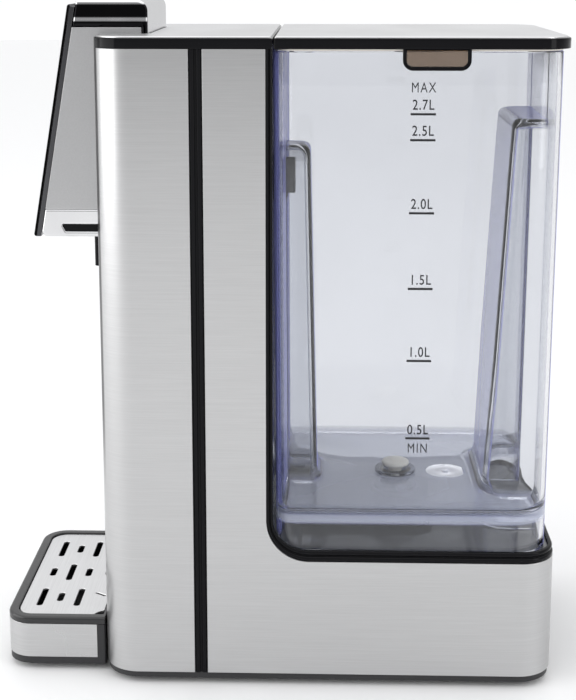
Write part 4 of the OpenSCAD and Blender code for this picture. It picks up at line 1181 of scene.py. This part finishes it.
class DISPENSER_OT_scale(bpy.types.Operator):
    """Litre scale printed on the tank's right wall: six lines and their figures"""

    bl_idname = "dispenser.scale"
    bl_label = "Litre scale"

    def execute(self, context):
        """Each word's flat font outline becomes a mesh, turned to lie on the wall: reading direction +Y, up +Z, one
        hair outside the wall."""
        sizes = context.scene.dispenser_sizes
        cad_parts["level_marks"].data.materials.clear()
        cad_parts["level_marks"].data.materials.append(finish_named("Scale print"))
        height = sizes.figure_height
        middle = (MARK_LOW[1] + MARK_HIGH[1]) / 2 * MM
        x = (TANK_HIGH[0] + 0.06) * MM
        top_line, low_line = 271.7, 122.4
        middle_lines = [(260.2, "2.5L"), (227.4, "2.0L"), (192.8, "1.5L"), (159.2, "1.0L")]
        lines = [(top_line, "2.7L"), *middle_lines, (low_line, "0.5L")]
        words = [(text, z + 2.0) for z, text in lines]
        words += [("MAX", top_line + 9.6), ("MIN", low_line - 2.4 - height / MM)]
        pieces = [self.word(context, text, middle, x, z * MM, height) for text, z in words]
        work = bmesh.new()
        for mesh in pieces:
            work.from_mesh(mesh)
        mesh = bpy.data.meshes.new("litre_figures")
        bmesh.ops.remove_doubles(work, verts=work.verts, dist=1e-7)
        work.to_mesh(mesh)
        work.free()
        mesh.materials.append(finish_named("Scale print"))
        figures = bpy.data.objects.new("litre_figures", mesh)
        context.scene.collection.objects.link(figures)
        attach(figures, "tank")
        return {"FINISHED"}

    def word(self, context, text, y, x, z, height):
        """One word as a mesh in place: text x becomes y, text y becomes z, scaled so that a capital is the given
        height."""
        curve = bpy.data.curves.new("word", "FONT")
        curve.body = text
        curve.align_x = "CENTER"
        curve.size = 1.0
        curve.extrude = 0.004
        curve.offset = 0.008 if text[0].isdigit() else 0.0
        curve.space_character = 1.12 if text[0].isdigit() else 1.22
        holder = bpy.data.objects.new("word", curve)
        context.scene.collection.objects.link(holder)
        context.view_layer.update()
        mesh = bpy.data.meshes.new_from_object(holder.evaluated_get(context.evaluated_depsgraph_get()))
        bpy.data.objects.remove(holder)
        capital = 0.70
        size = height / capital
        narrow = 0.80 if text[0].isdigit() else 0.72
        place = Matrix(((0, 0, size * 0.5, x), (size * narrow, 0, 0, y), (0, size, 0, z), (0, 0, 0, 1)))
        mesh.transform(place)
        return mesh


class DISPENSER_OT_valve(bpy.types.Operator):
    """Water valve in the tank's floor: clear bush, threaded collar, cream plunger and its spring"""

    bl_idname = "dispenser.valve"
    bl_label = "Water valve"

    def execute(self, context):
        soften("valve_bushing", "valve_bush", "Bush clear", "tank", 0.2)
        soften("valve_collar", "valve_ring", "Plated steel", "tank", 0.3)
        low, high = node_box("valve_plunger")
        z = high[2]
        guide = [(0.02, 0), (3.7, 0), (4.0, 0.3), (4.0, 0.9), (2.2, 1.1)]
        cap = [
            (2.2, 6.2), (3.2, 6.0), (3.7, 4.4), (6.4, 2.9), (6.9, 2.3), (7.0, 1.8), (6.7, 1.1), (6.0, 0.7),
            (4.6, 0.45), (3.8, 0.5), (3.2, 0.15), (1.6, 0), (0.02, 0)
        ]
        stem = [(r, low[2] + up) for r, up in guide] + [(r, z - down) for r, down in cap]
        put(
            "valve_mushroom", outwards(turned(stem, 0, VALVE_Y)), "Cream moulding", "valve",
            ["valve_plunger"], sharp=50
        )
        spring_low, spring_high = node_box("valve_spring")
        turns, wire, coil, stroke = 4, 0.34, 3.2, 2.1
        t = np.linspace(0, 1, 150)
        a = 2 * np.pi * turns * t
        z = spring_low[2] + wire + (spring_high[2] - spring_low[2] - 2 * wire - stroke) * t
        centre = np.stack([coil * np.cos(a), VALVE_Y + coil * np.sin(a), z], 1)
        out = np.stack([np.cos(a), np.sin(a), np.zeros_like(a)], 1)
        b = np.linspace(0, 2 * np.pi, 8, endpoint=False)
        rows = centre[:, None] + wire * (
            np.cos(b)[None, :, None] * out[:, None] + np.sin(b)[None, :, None] * np.array([0, 0, 1.0])
        )
        points, faces = skin(rows)
        ends = [list(range(8)), list(range(len(points) - 8, len(points)))[::-1]]
        put(
            "valve_coil", outwards((points, faces + ends)), "Plated steel", "valve", ["valve_spring"],
            sharp=60
        )
        return {"FINISHED"}


# ---------------------------------------------------------------- tray


class DISPENSER_OT_tray(bpy.types.Operator):
    """Drip tray: black bowl, steel band, black rim, and the lift-out steel grille"""

    bl_idname = "dispenser.tray"
    bl_label = "Drip tray"

    def execute(self, context):
        sizes = context.scene.dispenser_sizes
        half, front, rear, top = TRAY_HIGH[0], TRAY_LOW[1], TRAY_HIGH[1], TRAY_HIGH[2]
        radius = 12.5
        soften("tray_base", "tray_bowl", "Moulded black", "tray", 0.35)

        band_low, band_high = node_box("tray_band")
        path = wrapped_path(front, band_high[1], half, radius, 2 * sizes.arc_steps, (10.0,))
        grid = raise_path(path, [band_low[2], band_low[2] + 0.6, band_high[2] - 0.6, band_high[2]])[:, ::-1]
        band = put("tray_steel", sheet(grid), "Tray steel", "tray", ["tray_band"])
        thicken(band, 0.85)
        round_edges(band, 0.18)

        low = TRAY_LOW[2]
        t = np.linspace(0, np.pi / 2, 5)
        outer_roll = [(1.3 * (1 - np.cos(k)), top - 1.3 * (1 - np.sin(k))) for k in t]
        inner_roll = [(4.6 - 0.6 * (1 - np.sin(k)), top - 0.6 * (1 - np.cos(k))) for k in t]
        section = [
            (0.0, low + 0.3), *outer_roll, (1.7, top), (3.6, top), *inner_roll, (4.6, top - 2.4), (6.2, top - 2.4),
            (6.2, low), (0.3, low)
        ]
        rows = []
        for inset, z in section:
            back = 1.4 * min(inset / 4.6, 1.0) + max(inset - 4.6, 0)
            corners = box_outline(-half + inset, front + inset, half - inset, rear - back)
            r = max(radius - inset, 7.0)
            rows.append(lay(rounded(corners, [r, r, 0.8, 0.8]), z))
        put("tray_lip", outwards(skin(rows, close_rows=True)), "Soft black", "tray", ["tray_rim"])
        self.grille()
        return {"FINISHED"}

    def grille(self):
        """A rolled-edge plate with nine slots, a finger notch and two corner notches at the rear, and two slanted
        slots."""
        x1, y0, y1 = GRILLE_HIGH[0], GRILLE_LOW[1], GRILLE_HIGH[1]
        pitch, row_x, column_y, width = 9.2, 30.6, -108.8, 3.0
        radius = 8.5
        cut = 6.5
        corners = [(-x1, y0), (x1, y0)]
        right_notch = [
            (x1, y1 + 1 - math.sqrt(cut**2 - 1)), (x1 + 1 - cut * 0.866, y1 + 1 - cut * 0.5),
            (x1 + 1 - math.sqrt(cut**2 - 1), y1)
        ]
        left_notch = [(-x, y) for x, y in right_notch[::-1]]
        finger = [
            (5.4, y1), (5.5, y1 - 1.2), (4.6, y1 - 4.0), (2.4, y1 - 6.0), (-2.4, y1 - 6.0), (-4.6, y1 - 4.0),
            (-5.5, y1 - 1.2), (-5.4, y1)
        ]
        outline = [*corners, *right_notch, *finger, *left_notch]
        radii = [radius, radius, 0.6, 3.0, 0.6, 0.5, 1.5, 2.4, 3.0, 3.0, 2.4, 1.5, 0.5, 0.6, 3.0, 0.6]
        holes = []
        for row in (-1, 0, 1):
            for column in (-1, 0, 1):
                length = 20.3 if (column == 0) == (row == 0) else 9.9
                holes.append(self.slot(row * row_x, column_y + column * pitch, length, width, 0))
        holes += [self.slot(s * 27, y1 - 4.6, 6.5, 1.4, s * math.radians(55)) for s in (-1, 1)]
        plate = slab((outline, radii), GRILLE_LOW[2], GRILLE_HIGH[2], holes, roll=0.3, roll_low=0.15, steps=3)
        put("grille_plate", plate, "Grille steel", "grille", ["grille"])

    def slot(self, x, y, length, width, angle):
        """A slot's corners, clockwise, turned by the angle about its middle, with end radii a hair under half its
        width."""
        corners = box_outline(-length / 2, -width / 2, length / 2, width / 2)[::-1]
        c, s = math.cos(angle), math.sin(angle)
        return corners @ np.array([[c, s], [-s, c]]) + np.array([x, y]), [width / 2 * 0.98] * 4


# ---------------------------------------------------------------- nodes that stay, and the stage


class DISPENSER_OT_node_finishes(bpy.types.Operator):
    """Gives each CAD node that keeps its own shape its finish"""

    bl_idname = "dispenser.node_finishes"
    bl_label = "Inner parts"

    def execute(self, context):
        for finish, names in NODE_FINISHES.items():
            for name in names:
                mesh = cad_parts[name].data
                mesh.materials.clear()
                mesh.materials.append(finish_named(finish))
        return {"FINISHED"}


class DISPENSER_OT_stage(bpy.types.Operator):
    """Pale floor, soft light and the camera"""

    bl_idname = "dispenser.stage"
    bl_label = "Stage"

    def execute(self, context):
        scene = context.scene
        self.floor(scene)
        self.world(scene)
        self.lights(scene)
        self.camera(scene)
        scene.view_settings.view_transform = "Standard"
        return {"FINISHED"}

    def floor(self, scene):
        """A round floor: rings of radius r^2 growing outwards, flat at height 0."""
        radii = np.linspace(0.02, 1, 14) ** 2 * 6.0
        a = np.linspace(0, 2 * np.pi, 64, endpoint=False)
        rows = [np.column_stack([r * np.cos(a), r * np.sin(a), np.zeros(64)]) for r in radii]
        points, faces = skin(rows)
        mesh = bpy.data.meshes.new("floor")
        mesh.from_pydata(points.tolist(), [], [f[::-1] for f in faces] + [list(range(64))])
        mesh.update()
        mesh.materials.append(finish_named("Pale floor"))
        floor = bpy.data.objects.new("floor", mesh)
        scene.collection.objects.link(floor)

    def world(self, scene):
        """White surroundings. Polished and brushed surfaces meet them brighter overhead and dimmer low down on the
        camera's side, as in a studio with a white sweep behind the object and a darker room before it."""
        world = bpy.data.worlds.new("Studio")
        world.use_nodes = True
        tree = world.node_tree
        plain_level, overhead, far, near = 1.02, 1.5, 0.72, 0.36
        towards = split_axes(tree, add(tree, "TexCoord").outputs["Generated"])
        room = ranged(tree, towards["X"], -0.6, 0.2, far, near)
        studio = blend(tree, ranged(tree, towards["Z"], 0.12, 0.85), room, overhead, "FLOAT")
        polished = add(tree, "LightPath").outputs["Is Glossy Ray"]
        level = blend(tree, polished, plain_level, studio, "FLOAT")
        feed(tree, tree.nodes["Background"], {"Strength": level, "Color": (0.985, 0.99, 1.0, 1)})
        scene.world = world

    def lights(self, scene):
        """Large soft panels: (name, place, aim, width, height, power)."""
        panels = [
            ("top_panel", (0.1, 0.0, 1.5), (0, 0, 0.1), 1.6, 1.6, 1.5),
            ("front_panel", (0.40, -1.60, 0.55), (0, -0.05, 0.25), 1.8, 1.3, 16.0),
            ("rear_panel", (0.9, 1.5, 0.6), (0, 0.05, 0.2), 0.5, 1.4, 5.0),
        ]
        for name, place, aim, width, height, power in panels:
            light = bpy.data.lights.new(name, "AREA")
            light.shape = "RECTANGLE"
            light.size, light.size_y, light.energy = width, height, power
            lamp = bpy.data.objects.new(name, light)
            lamp.location = place
            lamp.rotation_mode = "QUATERNION"
            lamp.rotation_quaternion = (Vector(aim) - Vector(place)).to_track_quat("-Z", "Y")
            scene.collection.objects.link(lamp)

    def camera(self, scene):
        """A camera on the right side, a little above and looking slightly down."""
        pitch, yaw, focal = math.radians(10.84), math.radians(-1.71), 1472.2
        forward = Vector((-math.cos(pitch) * math.cos(yaw), math.cos(pitch) * math.sin(yaw), -math.sin(pitch)))
        right = Vector((math.sin(yaw), math.cos(yaw), 0))
        up = right.cross(forward)
        lens = bpy.data.cameras.new("camera")
        lens.sensor_fit = "AUTO"
        film, frame_height = 36.0, 700
        lens.sensor_width = film
        lens.lens = focal / frame_height * film
        lens.shift_x, lens.shift_y = 0.0088, -0.15
        lens.clip_start, lens.clip_end = 0.05, 30.0
        camera = bpy.data.objects.new("camera", lens)
        camera.rotation_mode = "QUATERNION"
        camera.rotation_quaternion = Matrix((right, up, -forward)).transposed().to_quaternion()
        camera.location = (0.7167, 0.0220, 0.3372)
        scene.collection.objects.link(camera)
        scene.camera = camera


STEPS = [
    DISPENSER_OT_front_wrap, DISPENSER_OT_side_panels, DISPENSER_OT_accent_strips, DISPENSER_OT_cradle_trim,
    DISPENSER_OT_cradle, DISPENSER_OT_deck, DISPENSER_OT_lid, DISPENSER_OT_head, DISPENSER_OT_tank,
    DISPENSER_OT_scale, DISPENSER_OT_valve, DISPENSER_OT_tray, DISPENSER_OT_node_finishes, DISPENSER_OT_stage
]


class DISPENSER_PT_panel(bpy.types.Panel):
    """Lists the dispenser's operators, sizes and colours"""

    bl_idname = "DISPENSER_PT_panel"
    bl_label = "Water dispenser"
    bl_space_type = "VIEW_3D"
    bl_region_type = "UI"
    bl_category = "Dispenser"

    def draw(self, context):
        for step in STEPS:
            self.layout.operator(step.bl_idname)
        for group in (context.scene.dispenser_sizes, context.scene.dispenser_colours):
            for name in group.bl_rna.properties.keys():
                if name not in ("rna_type", "name"):
                    self.layout.prop(group, name)


CLASSES = [DispenserSizes, DispenserColours, *STEPS, DISPENSER_PT_panel]


def register():
    for cls in CLASSES:
        bpy.utils.register_class(cls)
    bpy.types.Scene.dispenser_sizes = PointerProperty(type=DispenserSizes)
    bpy.types.Scene.dispenser_colours = PointerProperty(type=DispenserColours)


def unregister():
    del bpy.types.Scene.dispenser_sizes
    del bpy.types.Scene.dispenser_colours
    for cls in reversed(CLASSES):
        bpy.utils.unregister_class(cls)


def main():
    """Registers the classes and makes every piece."""
    register()
    for step in STEPS:
        kind, name = step.bl_idname.split(".")
        getattr(getattr(bpy.ops, kind), name)()


if __name__ == "__main__":
    main()
